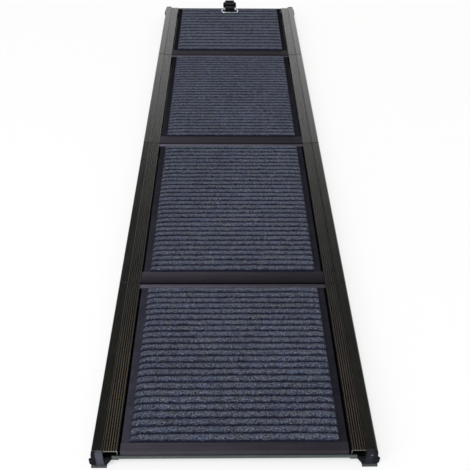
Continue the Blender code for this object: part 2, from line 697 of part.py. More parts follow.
def make_socket():
    """The buckle's socket: a tapered shell with a mouth, side windows and a webbing bar."""
    arm = WEBBING_WIDTH / 2 + 2 * FIT_GAP
    near_half = arm + SOCKET_SIDE
    half = BUCKLE_WIDTH / 2
    length = SOCKET_LENGTH
    bar = BUCKLE_BAR / 2
    start = -bar - FIT_GAP
    plan = mirrored([(half - bar, length), (half, length - 2 * bar), (half, 2 * BUCKLE_SLOT - bar),
                     (near_half, BUCKLE_SLOT / 2), (near_half, start), (arm, start), (arm, BUCKLE_SLOT)])
    thick = BUCKLE_THICKNESS / 2
    thin = thick * SOCKET_EDGE
    bm = bmesh.new()
    prism(bm, "z", plan, -BUCKLE_THICKNESS, BUCKLE_THICKNESS)
    place_on_buckle(bm)
    socket = add_piece("buckle_socket", "buckle", bm, smooth=True)

    def fill_side_view(bm):
        crown = [(-2 * bar, -thin), (BUCKLE_SLOT + bar, -thin), (2 * BUCKLE_SLOT, -thick),
                 (length - bar, -thick), (length + bar / 2, -thin), (length + bar / 2, thin),
                 (length - bar, thick), (2 * BUCKLE_SLOT, thick), (BUCKLE_SLOT + bar, thin),
                 (-2 * bar, thin)]
        prism(bm, "x", crown, -BUCKLE_WIDTH, BUCKLE_WIDTH)
        place_on_buckle(bm)

    def fill_hollows(bm):
        inner = half - SOCKET_SIDE
        depth = length - PRONG_LENGTH - SOCKET_SIDE / 2
        tall = thick - BUCKLE_WALL
        box(bm, (-inner, depth, -tall), (inner, length + SOCKET_SIDE, tall))
        place_on_buckle(bm)

    def fill_windows(bm):
        inner = half - 2 * SOCKET_SIDE
        for side in SIDES.values():
            low, high = sorted((side * inner, side * (half + SOCKET_SIDE)))
            box(bm, (low, length - PRONG_LENGTH, FIT_GAP - thick + BUCKLE_WALL),
                (high, length - PRONG_LENGTH / 2, thick - BUCKLE_WALL - FIT_GAP))
        place_on_buckle(bm)

    def fill_bar(bm):
        rod(bm, (-arm - bar, 0, 0), (arm + bar, 0, 0), bar, BAR_SIDES)
        place_on_buckle(bm)

    combine(socket, "helper_socket_taper", fill_side_view, "INTERSECT")
    combine(socket, "cutter_socket_hollow", fill_hollows, "DIFFERENCE")
    combine(socket, "cutter_socket_windows", fill_windows, "DIFFERENCE")
    combine(socket, "helper_socket_bar", fill_bar, "UNION")
    return socket


def plug_bar():
    """How far the plug's bar is from the socket's, along the buckle."""
    return SOCKET_LENGTH + PLUG_SHOULDER + BUCKLE_SLOT


def make_plug():
    """The buckle's plug: a shoulder with a webbing bar, and two prongs and a guide in the socket."""
    mouth = SOCKET_LENGTH + FIT_GAP
    shoulder = SOCKET_LENGTH + PLUG_SHOULDER
    arm = WEBBING_WIDTH / 2 + 2 * FIT_GAP
    bar = BUCKLE_BAR / 2
    half = PLUG_WIDTH / 2
    far = plug_bar() + bar
    plan = mirrored([(arm, shoulder), (arm, far), (arm + SOCKET_SIDE / 2, far), (half, shoulder),
                     (half, mouth)])
    thick = BUCKLE_THICKNESS / 2 * PLUG_EDGE
    bm = bmesh.new()
    prism(bm, "z", plan, -thick, thick)
    place_on_buckle(bm)
    plug = add_piece("buckle_plug", "buckle", bm, smooth=True)
    inner = BUCKLE_WIDTH / 2 - SOCKET_SIDE - FIT_GAP
    tip = SOCKET_LENGTH - PRONG_LENGTH
    tall = BUCKLE_THICKNESS / 2 - BUCKLE_WALL - FIT_GAP
    rooted = SOCKET_LENGTH + PLUG_SHOULDER / 2

    def fill_prongs(bm):
        for side in SIDES.values():
            neck = inner - PRONG_WIDTH / 3
            outline = [(neck - PRONG_WIDTH, rooted), (neck, rooted), (neck, tip + PRONG_LENGTH / 2),
                       (inner, tip + PRONG_LENGTH / 3), (inner, tip + PRONG_WIDTH / 2), (neck, tip),
                       (neck - PRONG_WIDTH, tip)]
            prism(bm, "z", [(side * x, y) for x, y in outline], -tall, tall)
        box(bm, (-PRONG_WIDTH / 2, tip + PRONG_WIDTH, -tall), (PRONG_WIDTH / 2, rooted, tall))
        place_on_buckle(bm)

    def fill_bar(bm):
        rod(bm, (-arm - bar, plug_bar(), 0), (arm + bar, plug_bar(), 0), bar, BAR_SIDES)
        place_on_buckle(bm)

    combine(plug, "helper_plug_prongs", fill_prongs, "UNION")
    combine(plug, "helper_plug_bar", fill_bar, "UNION")
    return plug


def tail_end():
    """The YZ middle of the tail's free end."""
    start = (buckle_place() @ Vector((0, plug_bar(), 0))).yz
    return start + Vector((math.cos(TAIL_DROOP), -math.sin(TAIL_DROOP))) * TAIL_LENGTH


def make_tail():
    """The end of the webbing, sewn round the plug's bar and hanging from it."""
    start = (buckle_place() @ Vector((0, plug_bar(), 0))).yz
    end = tail_end()
    radius = bar_loop_radius()
    meets = math.degrees(math.asin(WEBBING_THICKNESS / radius))
    fall = -math.degrees(TAIL_DROOP)
    across = Vector((math.sin(TAIL_DROOP), math.cos(TAIL_DROOP))) * WEBBING_THICKNESS
    section = [*arc(start, radius, fall + meets, fall - meets + 360, 10), tuple(end - across),
               tuple(end + across)]
    half = WEBBING_WIDTH / 2
    hole = circle(start, BUCKLE_BAR / 2 + FIT_GAP, BAR_SIDES)
    return make_prism("tether_tail", "webbing", "x", section, -half, half, [hole])


def make_panel(panel):
    rails = [make_rail(panel, side_name) for side_name in SIDES]
    strips = [make_strip(panel, end_name) for end_name in ("lower", "upper")]
    return [*rails, make_board(panel), *strips, make_carpet(panel)]


def centre_overall():
    """Moves the whole ramp along Y, so that the origin is under the middle of its overall length."""
    upper_reach = tail_end().x + WEBBING_THICKNESS * math.sin(TAIL_DROOP)
    lower_reach = RAMP_END + CAP_THICKNESS + PAD_OVERHANG
    for thing in bpy.data.objects:
        if thing.parent is None:
            thing.location.y -= (upper_reach - lower_reach) / 2


def build():
    clear_scene()
    lower_fixed, lower_moving = make_end_hinges("lower_hinge", -MIDDLE_LENGTH, -1)
    upper_fixed, upper_moving = make_end_hinges("upper_hinge", MIDDLE_LENGTH, 1)
    pin_z = height(-PIN_DEPTH)

    # The upper middle panel carries everything else and has no pivot of its own
    make_panel("upper_middle")
    make_spine_leaves("upper", 1)

    spine_pivot = add_pivot("spine_pivot", (0, SPINE_PITCH / 2, pin_z))
    carry(spine_pivot, make_spine())

    lower_middle_pivot = add_pivot("lower_middle_pivot", (0, -SPINE_PITCH / 2, pin_z), spine_pivot)
    lower_leaves = make_spine_leaves("lower", -1)
    carry(lower_middle_pivot, make_panel("lower_middle") + lower_leaves + lower_fixed)

    lower_end_pivot = add_pivot("lower_end_pivot", (0, -MIDDLE_LENGTH, pin_z), lower_middle_pivot)
    lower_feet = make_feet("lower_end", -1)
    carry(lower_end_pivot, make_panel("lower_end") + lower_moving + lower_feet + [make_nose()])

    upper_end_pivot = add_pivot("upper_end_pivot", (0, MIDDLE_LENGTH, pin_z))
    upper_feet = make_feet("upper_end", 1)
    tether = [make_webbing(), make_clamp(), make_socket()]
    carry(upper_end_pivot, make_panel("upper_end") + upper_moving + upper_feet + tether)

    ring_pivot = add_pivot("tether_ring_pivot", (0, *ring_bars()[0]), upper_end_pivot)
    carry(ring_pivot, [make_ring()])

    plug_slide = add_pivot("buckle_plug_slide", tuple(buckle_place().translation), upper_end_pivot)
    carry(plug_slide, [make_plug(), make_tail()])
    centre_overall()


build()
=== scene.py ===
"""Looks of the folding dog ramp: carpets, webbing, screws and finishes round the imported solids. Metres throughout."""
import json
import math

import bmesh
import bpy
import numpy as np
from mathutils import Matrix, Vector


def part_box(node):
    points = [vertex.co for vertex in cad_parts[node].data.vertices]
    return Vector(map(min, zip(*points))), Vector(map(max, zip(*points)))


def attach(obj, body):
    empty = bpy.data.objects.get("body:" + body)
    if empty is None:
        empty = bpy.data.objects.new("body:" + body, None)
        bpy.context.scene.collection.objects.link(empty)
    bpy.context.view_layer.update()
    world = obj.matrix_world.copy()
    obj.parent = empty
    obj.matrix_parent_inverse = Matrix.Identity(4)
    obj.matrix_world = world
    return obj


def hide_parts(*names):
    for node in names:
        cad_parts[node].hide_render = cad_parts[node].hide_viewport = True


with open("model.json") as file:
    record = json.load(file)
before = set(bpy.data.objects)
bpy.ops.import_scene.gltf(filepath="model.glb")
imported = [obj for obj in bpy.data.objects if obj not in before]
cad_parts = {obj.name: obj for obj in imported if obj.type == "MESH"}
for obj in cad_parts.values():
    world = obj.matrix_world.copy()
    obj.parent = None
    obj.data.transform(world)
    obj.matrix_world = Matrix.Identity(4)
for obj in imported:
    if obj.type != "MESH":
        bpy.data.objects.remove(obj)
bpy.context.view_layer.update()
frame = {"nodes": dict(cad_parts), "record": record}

NODES = frame["nodes"]
SUBPARTS = frame["record"]["subparts"]
BODIES = frame["record"]["behaviour"]["bodies"]
SIDES = (("left", -1), ("right", 1))

# Camera: where it stands, its focal length, and its turns in radians
CAMERA_PLACE = (-0.0124, -1.41995, 0.9157)
CAMERA_LENS = 52.23
CAMERA_DOWN = 0.6996
CAMERA_YAW = 0.0170
CAMERA_ROLL = 0.0101

# Along the ramp: the middle joint, the joints' spacing, half the spine bar, the strip above a joint, and where the
# upper end's strip begins
MIDDLE_JOINT = -0.028027
JOINT_SPACING = 0.480
SPINE_HALF = 0.0365
LOWER_STRIP = 0.030
STRIP_EDGE = 0.8220 + MIDDLE_JOINT

# Heights above the floor, and the inner edge of the rails' smooth band
TREAD_CREST = 0.033
CARPET_CREST = 0.0352
LEAF_UNDER = 0.0062
CURB_INNER = 0.1936

# Carpets: each panel's number of ribs, and how finely the pile is modelled across and along a rib
RIB_COUNTS = {"lower_end": 24, "lower_middle": 30, "upper_middle": 30, "upper_end": 14}
PILE_COLUMN = 0.0016
RIB_ROWS = (0.0, 0.06, 0.13, 0.2, 0.28, 0.37, 0.5, 0.63, 0.72, 0.8, 0.87, 0.94)

# Ribs: their height and form, how far they wander, how their crests rise and fall, and how uneven their ends are
RIB_HEIGHT = 0.0026
RIB_FORM = (2.2, 1.1)
WANDER_WAVES = (0.31, 0.14, 0.06)
WANDER = 0.0007
WANDER_SPREAD = 0.0002
CREST_WAVES = (0.11, 0.045, 0.019)
CREST_LIFT = 0.93
CREST_SPREAD = 0.02
CREST_SWING = 0.07
END_FRAY = 0.0012

# Ribs' ends: how far in they turn down the ramp and by how much, how far in they round off, their droop, and what is
# left of their height and of their painted light
END_TURN = 0.007
LEFT_TURN = 0.0055
RIGHT_TURN = 0.0016
END_ROUNDING = 0.0045
END_DROOP = 0.0010
END_HEIGHT = 0.25
END_PAINTED_LIGHT = 0.4

# Tufts: how far they stand up and lean, how much of them a groove has, and how much painted light and shade their
# height gives
TUFT_RISE = 0.00034
TUFT_LEAN = 0.00012
GROOVE_TUFTS = 0.35
TUFT_PAINTED_LIGHT = 0.14

# Ring: its two bars as Y and Z, its sizes, and its weld's bulge, X and length
RING_FAR = (0.8004 + MIDDLE_JOINT, 0.0394)
RING_NEAR = (0.7779 + MIDDLE_JOINT, 0.0375)
RING_HALF = 0.025
RING_RADIUS = 0.002
RING_CORNER = 0.006
RING_STEP = 0.0009
WELD_BULGE = 0.10
WELD_PLACE = 0.006
WELD_LENGTH = 0.0011

# Webbing: its sizes, the gaps beside it, and how its selvedges stray
STRAP_HALF = 0.0149
STRAP_THICKNESS = 0.0015
STRAP_GAP = 0.0003
LAYER_GAP = STRAP_GAP / 3
STRAP_STEP = 0.0007
SELVEDGE_WAVES = (0.013, 0.006)
SELVEDGE_STRAY = 0.00012

# Buckle: the YZ centres of its two bars, and their radius. The clamp's plate is as thick
SOCKET_BAR = (0.8395 + MIDDLE_JOINT, 0.03218)
PLUG_BAR = (0.8814 + MIDDLE_JOINT, 0.02925)
BAR_RADIUS = 0.0015
CLAMP_PLATE = 0.0015

# Webbing's way, with angles in degrees: round the ring, down to the socket, and out from the plug in two layers
RING_WRAP = (50, 270)
SOCKET_LEAN = 4.0
TAIL_RISE = 7.0
TAIL_LENGTH = 0.0158
TAIL_SPREAD = 1.05

# Sewing: the stitches, the rows' distance from the selvedges, and where the box and the tail's rows are
STITCH_RADIUS = 0.00035
STITCH_PITCH = 0.0024
STITCH_LENGTH = STITCH_PITCH * 0.42
STITCH_RISE = 0.8
STITCH_SUNK = 0.15
SEWN_INSET = 0.003
BOX_START = RING_FAR[0] + 0.0075
BOX_END = STRIP_EDGE + 0.0005
BOX_LAYERS = 2.6
TAIL_ROWS = (0.0065, 0.0115)
TAIL_LAYERS = 1.02

# Screw and rivet heads: radius, rise, and half the width of a cross recess's slots
LEAF_SCREW = (0.0024, 0.0007, 0.00042)
CAP_SCREW = (0.0022, 0.0006, 0.0004)
CLAMP_RIVET = (0.0019, 0.0007, 0.0)

# Heads' form: sides, rings as shares of the radius, and the crown's edge, recess and skirt as shares of the rise
HEAD_SIDES = 28
HEAD_RINGS = (0.0, 0.16, 0.32, 0.46, 0.55, 0.7, 0.84, 0.94, 1.0)
HEAD_CURVE = 2.4
HEAD_EDGE = 0.25
HEAD_SKIRT = 0.4
RECESS_REACH = 0.55
RECESS_DEPTH = 0.7

# Where heads are: a leaf's from its middle and its pin, a cap's X and Z, and the clamp's X
LEAF_SCREWS = ((0.012, 0.013), (0.007, 0.027))
CAP_SCREW_AT = (0.2015, 0.0265)
RIVETS_X = (-0.009, 0.009)

# The upper caps' fenders: their section as X and Z, and their ends from the cap's outer face
FENDER_SECTION = ((0.2095, 0.0300), (0.2125, 0.0270), (0.2172, 0.0130), (0.2175, 0.0065), (0.2150, 0.0040),
                  (0.2095, 0.0040))
FENDER_ENDS = (0.0044, 0.0006)
FENDER_ROUNDING = 0.0006

# How much each slot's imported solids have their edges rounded
EDGE_WIDTHS = {"rail": 0.00025, "board": 0.0006, "strip": 0.0005, "hinge": 0.0003, "pin": 0.0003, "cap": 0.0006,
               "pad": 0.0006, "nose": 0.0005, "buckle": 0.0005, "clamp": 0.0003}

# Where tones, painted light and painted shade change: X from left to right, Y from one place up to another, and most of
# a noise's range
LEFT_TO_RIGHT = (-0.15, 0.15)
WHOLE_RAMP = (-0.80, 0.75)
LOWER_HALF = (-0.80, 0.0)
MIDDLE_PANELS = (-0.45, 0.45)
JOINT_TO_JOINT = (-0.45, -0.06)
RIDGES_WORN_AND_HIGHLIT = (-0.80, -0.45)
MOST = (0.3, 0.7)

# Below a joint: where the painted highlight on the narrow strip's edge starts and is full, and where the highlight's
# strength changes
STRIP_HIGHLIGHT_EDGE = (JOINT_SPACING - 0.013, JOINT_SPACING - 0.011)
STRIP_TONE = (JOINT_SPACING - 0.0095, JOINT_SPACING - 0.001)

# Caps: where their faces start and end across the ramp
CAP_INNER = (0.1925, 0.1937)
CAP_OUTER = (0.2050, 0.2030)

# The rails' fine relief, how much they seem to rise to the middle joint, and the gap at their joints
RAIL_BUMP = 0.000018
BOW_SLOPE = 0.010
SEAM = (0.0015, 0.0009)

# Colours of the rails, with painted highlight on their ridges and painted shade in their valleys, of the carpets, whose
# groove colour is painted shade, and of the webbing
RAIL_DARK, RAIL_LIGHT = (0.0062, 0.0065, 0.0050, 1), (0.0098, 0.0098, 0.0076, 1)
RIDGE_HIGHLIGHT_AND_WEAR_LEFT, RIDGE_HIGHLIGHT_AND_WEAR_RIGHT = (0.118, 0.090, 0.053, 1), (0.084, 0.054, 0.037, 1)
PAINTED_VALLEY_SHADE = (0.0012, 0.0011, 0.0009, 1)
SEAM_BLACK = (0.001, 0.001, 0.001, 1)
CUT_METAL = (0.17, 0.155, 0.13, 1)
PILE_COLOURS = {"Groove": (0.0065, 0.0075, 0.022, 1), "Crest": (0.054, 0.064, 0.099, 1),
                "Tint": (0.061, 0.068, 0.079, 1), "Fleck": (0.26, 0.27, 0.33, 1)}
WEBBING_DARK, WEBBING_LIGHT = (0.0060, 0.0060, 0.0070, 1), (0.014, 0.014, 0.016, 1)

# Colours of the buckle, and of dust and wear
BUCKLE_DARK, BUCKLE_LIGHT = (0.0024, 0.0030, 0.0044, 1), (0.0048, 0.0058, 0.0078, 1)
BUCKLE_WORN = (0.06, 0.06, 0.065, 1)
STEEL_WORN = (0.35, 0.34, 0.33, 1)
RAIL_DUST = (0.22, 0.21, 0.19, 1)
PLASTIC_DUST = (0.18, 0.175, 0.165, 1)
STEEL_DUST = (0.25, 0.24, 0.22, 1)

# Floor and world: the floor's size, colour, light from below and whiteness, and the world's ceiling and light
FLOOR_SIDE = 30.0
FLOOR_COLOUR = (0.92, 0.92, 0.92, 1)
FLOOR_UNDERSIDE_GLOW = 0.35
FLOOR_WHITE = 0.62
CEILING_TILT = (-0.30, 0.0, 1.0)
HORIZON = (0.39, 0.60)
HORIZON_LIGHT = 1.7
CEILING_LIGHT = 0.05
SOFT_LIGHT = 0.55


# ---- Node trees

def node(tree, kind, inputs=None, **settings):
    """A node with its settings, and its inputs set or joined to another node's output."""
    made = tree.nodes.new(kind)
    for name, value in settings.items():
        setattr(made, name, value)
    for key, value in (inputs or {}).items():
        if isinstance(value, bpy.types.NodeSocket):
            tree.links.new(value, made.inputs[key])
        else:
            made.inputs[key].default_value = value
    return made


def feed(tree, sockets, **values):
    """Joins each value to the socket of its name."""
    for name, value in values.items():
        tree.links.new(value, sockets[name.replace("_", " ")])


def sums(tree, operation, *values, clamp=False):
    inputs = dict(enumerate(values))
    return node(tree, "ShaderNodeMath", inputs, operation=operation, use_clamp=clamp).outputs[0]


def times(tree, first, second, clamp=False):
    return sums(tree, "MULTIPLY", first, second, clamp=clamp)


def absolute(tree, value):
    return sums(tree, "ABSOLUTE", value)


def remap(tree, value, low, high, to_low=0.0, to_high=1.0, smooth=False):
    """A value's range carried to another range, and held at its ends."""
    inputs = {"Value": value, 1: low, 2: high, 3: to_low, 4: to_high}
    kind = "SMOOTHSTEP" if smooth else "LINEAR"
    return node(tree, "ShaderNodeMapRange", inputs, interpolation_type=kind).outputs[0]


def mixed(tree, share, first, second):
    """Two colours mixed by a share."""
    return node(tree, "ShaderNodeMix", {0: share, 6: first, 7: second}, data_type="RGBA").outputs[2]


def lit(tree, colour, light):
    """A colour made darker or lighter by a factor."""
    return node(tree, "ShaderNodeVectorMath", {0: colour, "Scale": light}, operation="SCALE").outputs[0]


def noise(tree, place, scale, detail, roughness):
    inputs = {"Vector": place, "Scale": scale, "Detail": detail, "Roughness": roughness}
    return node(tree, "ShaderNodeTexNoise", inputs).outputs["Fac"]


def bump(tree, height, distance, strength=1.0):
    inputs = {"Height": height, "Distance": distance, "Strength": strength}
    return node(tree, "ShaderNodeBump", inputs).outputs["Normal"]


def parts(tree, vector):
    """A vector's X, Y and Z."""
    return node(tree, "ShaderNodeSeparateXYZ", {0: vector}).outputs


def stretched(tree, place, stretch):
    return node(tree, "ShaderNodeVectorMath", {0: place, 1: stretch}, operation="MULTIPLY").outputs[0]


def facing(tree, first, second):
    """The dot product of two directions."""
    return node(tree, "ShaderNodeVectorMath", {0: first, 1: second}, operation="DOT_PRODUCT").outputs["Value"]


def new_group(name, inputs, outputs):
    """A shader node group with named sockets, and the sockets of its own input and output nodes."""
    tree = bpy.data.node_groups.new(name, "ShaderNodeTree")
    for title, kind, value in inputs:
        socket = tree.interface.new_socket(title, in_out="INPUT", socket_type=f"NodeSocket{kind}")
        if value is not None:
            socket.default_value = value
    for title, kind in outputs:
        tree.interface.new_socket(title, in_out="OUTPUT", socket_type=f"NodeSocket{kind}")
    return tree, tree.nodes.new("NodeGroupInput").outputs, tree.nodes.new("NodeGroupOutput").inputs


def placed(tree, group, **inputs):
    """The outputs of a group placed in a tree with its own values."""
    return node(tree, "ShaderNodeGroup", inputs, node_tree=group).outputs


# ---- Shared effects

def make_drawn_lines():
    """Fine lines left by drawing or rolling, and slow changes of tone along them."""
    tree, given, out = new_group("drawn_lines", [("Place", "Vector", None), ("Stretch", "Vector", (900, 8, 900))],
                                 [("Lines", "Float"), ("Tone", "Float")])
    along = stretched(tree, given["Place"], given["Stretch"])
    feed(tree, out, Lines=noise(tree, along, scale=1.0, detail=3.0, roughness=0.6),
         Tone=noise(tree, given["Place"], scale=14.0, detail=3.0, roughness=0.55))
    return tree


def make_moulded_grain():
    """The fine pebbled skin of moulded plastic or rubber, with faint scuffs."""
    tree, given, out = new_group("moulded_grain", [("Place", "Vector", None), ("Scale", "Float", 900.0)],
                                 [("Height", "Float"), ("Scuffs", "Float")])
    pebbles = node(tree, "ShaderNodeTexVoronoi", {"Vector": given["Place"], "Scale": given["Scale"]},
                   feature="SMOOTH_F1").outputs["Distance"]
    along = stretched(tree, given["Place"], (60, 240, 60))
    scuffs = remap(tree, noise(tree, along, scale=1.0, detail=5.0, roughness=0.65), 0.52, 0.72)
    feed(tree, out, Height=pebbles, Scuffs=scuffs)
    return tree


def make_edge_wear():
    """Where edges are rubbed: from the turn of the surface within a radius, broken up by noise."""
    tree, given, out = new_group("edge_wear", [("Place", "Vector", None), ("Radius", "Float", 0.0006)],
                                 [("Wear", "Float")])
    rounded = node(tree, "ShaderNodeBevel", {"Radius": given["Radius"]}, samples=6).outputs["Normal"]
    true = node(tree, "ShaderNodeNewGeometry").outputs["Normal"]
    turn = remap(tree, facing(tree, rounded, true), 0.99, 0.86)
    patches = remap(tree, noise(tree, given["Place"], scale=160.0, detail=4.0, roughness=0.6), 0.42, 0.62)
    feed(tree, out, Wear=times(tree, turn, patches))
    return tree


def make_dust():
    """Thin dust in patches and specks."""
    tree, given, out = new_group("dust", [("Place", "Vector", None), ("Cover", "Float", 0.2)], [("Dust", "Float")])
    place = given["Place"]
    patches = remap(tree, noise(tree, place, scale=26.0, detail=4.0, roughness=0.6), 0.45, 0.75)
    specks = remap(tree, noise(tree, place, scale=1400.0, detail=1.0, roughness=0.5), 0.62, 0.74)
    both = sums(tree, "MULTIPLY_ADD", patches, 0.5, specks)
    feed(tree, out, Dust=times(tree, both, given["Cover"], clamp=True))
    return tree


def make_marl():
    """Mixed dark and light fibres, over painted shade from a light crest down to a dark groove. Pile is 0 in a groove
    and 1 on a crest.
    """
    inputs = [("Place", "Vector", None), ("Pile", "Float", 1.0), ("Groove", "Color", (0, 0, 0, 1)),
              ("Crest", "Color", (1, 1, 1, 1)), ("Tint", "Color", (1, 1, 1, 1)),
              ("Fleck", "Color", (1, 1, 1, 1)), ("Flecks", "Float", 0.4)]
    tree, given, out = new_group("marl", inputs, [("Colour", "Color"), ("Height", "Float")])
    place = given["Place"]
    fibres = noise(tree, stretched(tree, place, (0.75, 1.0, 1.0)), scale=640.0, detail=3.0, roughness=0.75)
    yarns = noise(tree, place, scale=400.0, detail=1.0, roughness=0.5)
    patches = noise(tree, place, scale=11.0, detail=3.0, roughness=0.55)
    shade = times(tree, remap(tree, fibres, 0.37, 0.63, 0.2, 1.85), remap(tree, yarns, 0.34, 0.66, 0.35, 1.62))
    shade = times(tree, shade, remap(tree, patches, *MOST, 0.88, 1.12))
    dyed = remap(tree, noise(tree, place, scale=70.0, detail=3.0, roughness=0.7), 0.42, 0.66)
    tinted = mixed(tree, dyed, given["Crest"], given["Tint"])
    # Painted shade: the groove colour is far darker than the crest's, in place of the shade in the grooves
    shaded = lit(tree, mixed(tree, given["Pile"], given["Groove"], tinted), shade)
    specks = remap(tree, noise(tree, place, scale=430.0, detail=1.0, roughness=0.4), 0.61, 0.68)
    specks = times(tree, times(tree, specks, given["Pile"]), given["Flecks"])
    feed(tree, out, Colour=mixed(tree, specks, shaded, given["Fleck"]), Height=fibres)
    return tree


def make_weave():
    """Tight webbing: ribs along the strap crossed by small bars, with painted shade in the hollows between them. Strap
    is metres across and along it.
    """
    tree, given, out = new_group("weave", [("Strap", "Vector", None), ("Thread", "Float", 0.0011)],
                                 [("Height", "Float"), ("Shade", "Float")])
    across, along = (sums(tree, "DIVIDE", part, given["Thread"]) for part in parts(tree, given["Strap"])[:2])
    ribs = absolute(tree, sums(tree, "SINE", times(tree, across, math.pi)))
    step = sums(tree, "ADD", along, times(tree, sums(tree, "FLOOR", across), 0.5))
    bars = absolute(tree, sums(tree, "SINE", times(tree, step, math.pi)))
    height = times(tree, ribs, sums(tree, "MULTIPLY_ADD", bars, 0.5, 0.5))
    # Shade is painted shade, darker where the weave is lower
    feed(tree, out, Height=height, Shade=remap(tree, height, 0.0, 0.9, 0.45, 1.2))
    return tree


DRAWN_LINES = make_drawn_lines()
MOULDED_GRAIN = make_moulded_grain()
EDGE_WEAR = make_edge_wear()
DUST = make_dust()
MARL = make_marl()
WEAVE = make_weave()


def edge_wear(tree, here, radius):
    return placed(tree, EDGE_WEAR, Place=here, Radius=radius)["Wear"]


def dust(tree, here, cover):
    return placed(tree, DUST, Place=here, Cover=cover)["Dust"]


# ---- Finishes

def new_finish(name, **settings):
    """A material with a Principled shader. settings are that shader's plain values."""
    made = bpy.data.materials.new(name)
    made.use_nodes = True
    tree = made.node_tree
    shader = tree.nodes["Principled BSDF"]
    for key, value in settings.items():
        shader.inputs[key.replace("_", " ")].default_value = value
    return made, tree, shader.inputs, node(tree, "ShaderNodeTexCoord").outputs


def toned(colour, factor):
    return (*(factor * part for part in colour[:3]), 1)


def past_joint(tree, y, offset=0.0):
    """How far up the ramp a place is from the joint line below it. An offset moves the lines down."""
    below_ramp = MIDDLE_JOINT - 4 * JOINT_SPACING
    return sums(tree, "MODULO", sums(tree, "ADD", y, offset - below_ramp), JOINT_SPACING)


def joint_distance(tree, y):
    """How far along the ramp a place is from the nearest joint line."""
    half = JOINT_SPACING / 2
    return absolute(tree, sums(tree, "SUBTRACT", past_joint(tree, y, half), half))


def by_depth(tree, z, first, second, to_first=0.0, to_second=1.0):
    """A value that changes between two depths under the rails' ridges."""
    return remap(tree, z, TREAD_CREST - first, TREAD_CREST - second, to_first, to_second)


def anodised_rail():
    """Dark bronze anodised aluminium: worn brown with a painted highlight on the tread's ridges, painted shade between
    them, bare where it is cut.
    """
    made, tree, shader, place = new_finish("anodised_rail", IOR=1.5)
    here = place["Object"]
    x, y, z = parts(tree, here)
    drawn = placed(tree, DRAWN_LINES, Place=here, Stretch=(1400, 9, 1400))
    colour = mixed(tree, drawn["Tone"], RAIL_DARK, RAIL_LIGHT)

    on_tread = remap(tree, absolute(tree, x), CURB_INNER - 0.0003, CURB_INNER, 1.0, 0.0)
    # Painted shade: the valleys between the tread's ridges are darkened nearly to black
    valley_shade = times(tree, on_tread, by_depth(tree, z, 0.0001, 0.0005))
    colour = mixed(tree, times(tree, valley_shade, 0.9), colour, PAINTED_VALLEY_SHADE)
    # The ridges' crests: brown with wear, plus a painted highlight that is strongest at the lower end and lighter on
    # the left
    ridge_wear_and_highlight = times(tree, on_tread, by_depth(tree, z, 0.0003, 0.00003))
    ridge_wear_and_highlight = times(tree, ridge_wear_and_highlight, remap(tree, y, *RIDGES_WORN_AND_HIGHLIT, 1.0, 0.10, smooth=True))
    highlight_and_wear = mixed(tree, remap(tree, x, -0.1, 0.1), RIDGE_HIGHLIGHT_AND_WEAR_LEFT, RIDGE_HIGHLIGHT_AND_WEAR_RIGHT)
    streaks = remap(tree, drawn["Lines"], *MOST, 0.25, 0.95)
    colour = mixed(tree, times(tree, ridge_wear_and_highlight, streaks), colour, highlight_and_wear)
    colour = mixed(tree, dust(tree, here, cover=0.05), colour, RAIL_DUST)

    # Bare metal shows on the cut ends and on rubbed edges, but not in a joint's gap. Where it is kept near the top of
    # the ends and made strongest on the left, it is a painted highlight
    end_face = remap(tree, absolute(tree, parts(tree, place["Normal"])[1]), 0.55, 0.75)
    bare_and_highlight = times(tree, end_face, by_depth(tree, z, 0.0045, 0.002, 0.05, 1.0))
    bare_and_highlight = times(tree, bare_and_highlight, remap(tree, x, *LEFT_TO_RIGHT, 1.0, 0.35))
    bare_and_highlight = sums(tree, "MAXIMUM", bare_and_highlight, times(tree, edge_wear(tree, here, radius=0.0005), 0.35))
    seam = remap(tree, joint_distance(tree, y), *SEAM)
    bare_and_highlight = times(tree, bare_and_highlight, sums(tree, "SUBTRACT", 1.0, seam))
    colour = mixed(tree, bare_and_highlight, colour, CUT_METAL)
    colour = mixed(tree, seam, colour, SEAM_BLACK)

    # The middle joint stands a hair higher than the ends, which shows only in what the rails reflect
    bow = absolute(tree, sums(tree, "SUBTRACT", y, MIDDLE_JOINT))
    surface = sums(tree, "MULTIPLY_ADD", bow, -BOW_SLOPE / RAIL_BUMP, drawn["Lines"])
    polish = remap(tree, drawn["Lines"], *MOST, 0.20, 0.30)
    feed(tree, shader, Base_Color=colour, Metallic=times(tree, bare_and_highlight, 0.6),
         Roughness=sums(tree, "MULTIPLY_ADD", seam, 0.7, polish), Normal=bump(tree, surface, RAIL_BUMP))
    return made


def shaded_to_joint(tree, here, colour):
    """Painted shade that darkens a cross strip towards its joint, its right end and the ramp's upper end, and a painted
    highlight on the rubbed edge of the narrow strip below it."""
    x, y, _ = parts(tree, here)
    beyond = past_joint(tree, y)
    # Painted shade towards the joint below, and further up the ramp; painted light on the left
    at_joint = remap(tree, y, *JOINT_TO_JOINT, 0.25, 0.85)
    light = remap(tree, beyond, 0.0, LOWER_STRIP, at_joint, 1.15)
    outer = remap(tree, y, *JOINT_TO_JOINT, 1.1, 2.6)
    inner = remap(tree, y, *JOINT_TO_JOINT, 0.0, 1.6)
    # Painted highlight on the narrow strip's edge
    highlight_and_wear = times(tree, remap(tree, beyond, *STRIP_TONE, outer, inner), remap(tree, beyond, *STRIP_HIGHLIGHT_EDGE))
    light = times(tree, sums(tree, "ADD", light, highlight_and_wear), remap(tree, x, *LEFT_TO_RIGHT, 1.25, 0.62))
    return lit(tree, colour, times(tree, light, remap(tree, y, *MIDDLE_PANELS, 1.0, 0.5)))


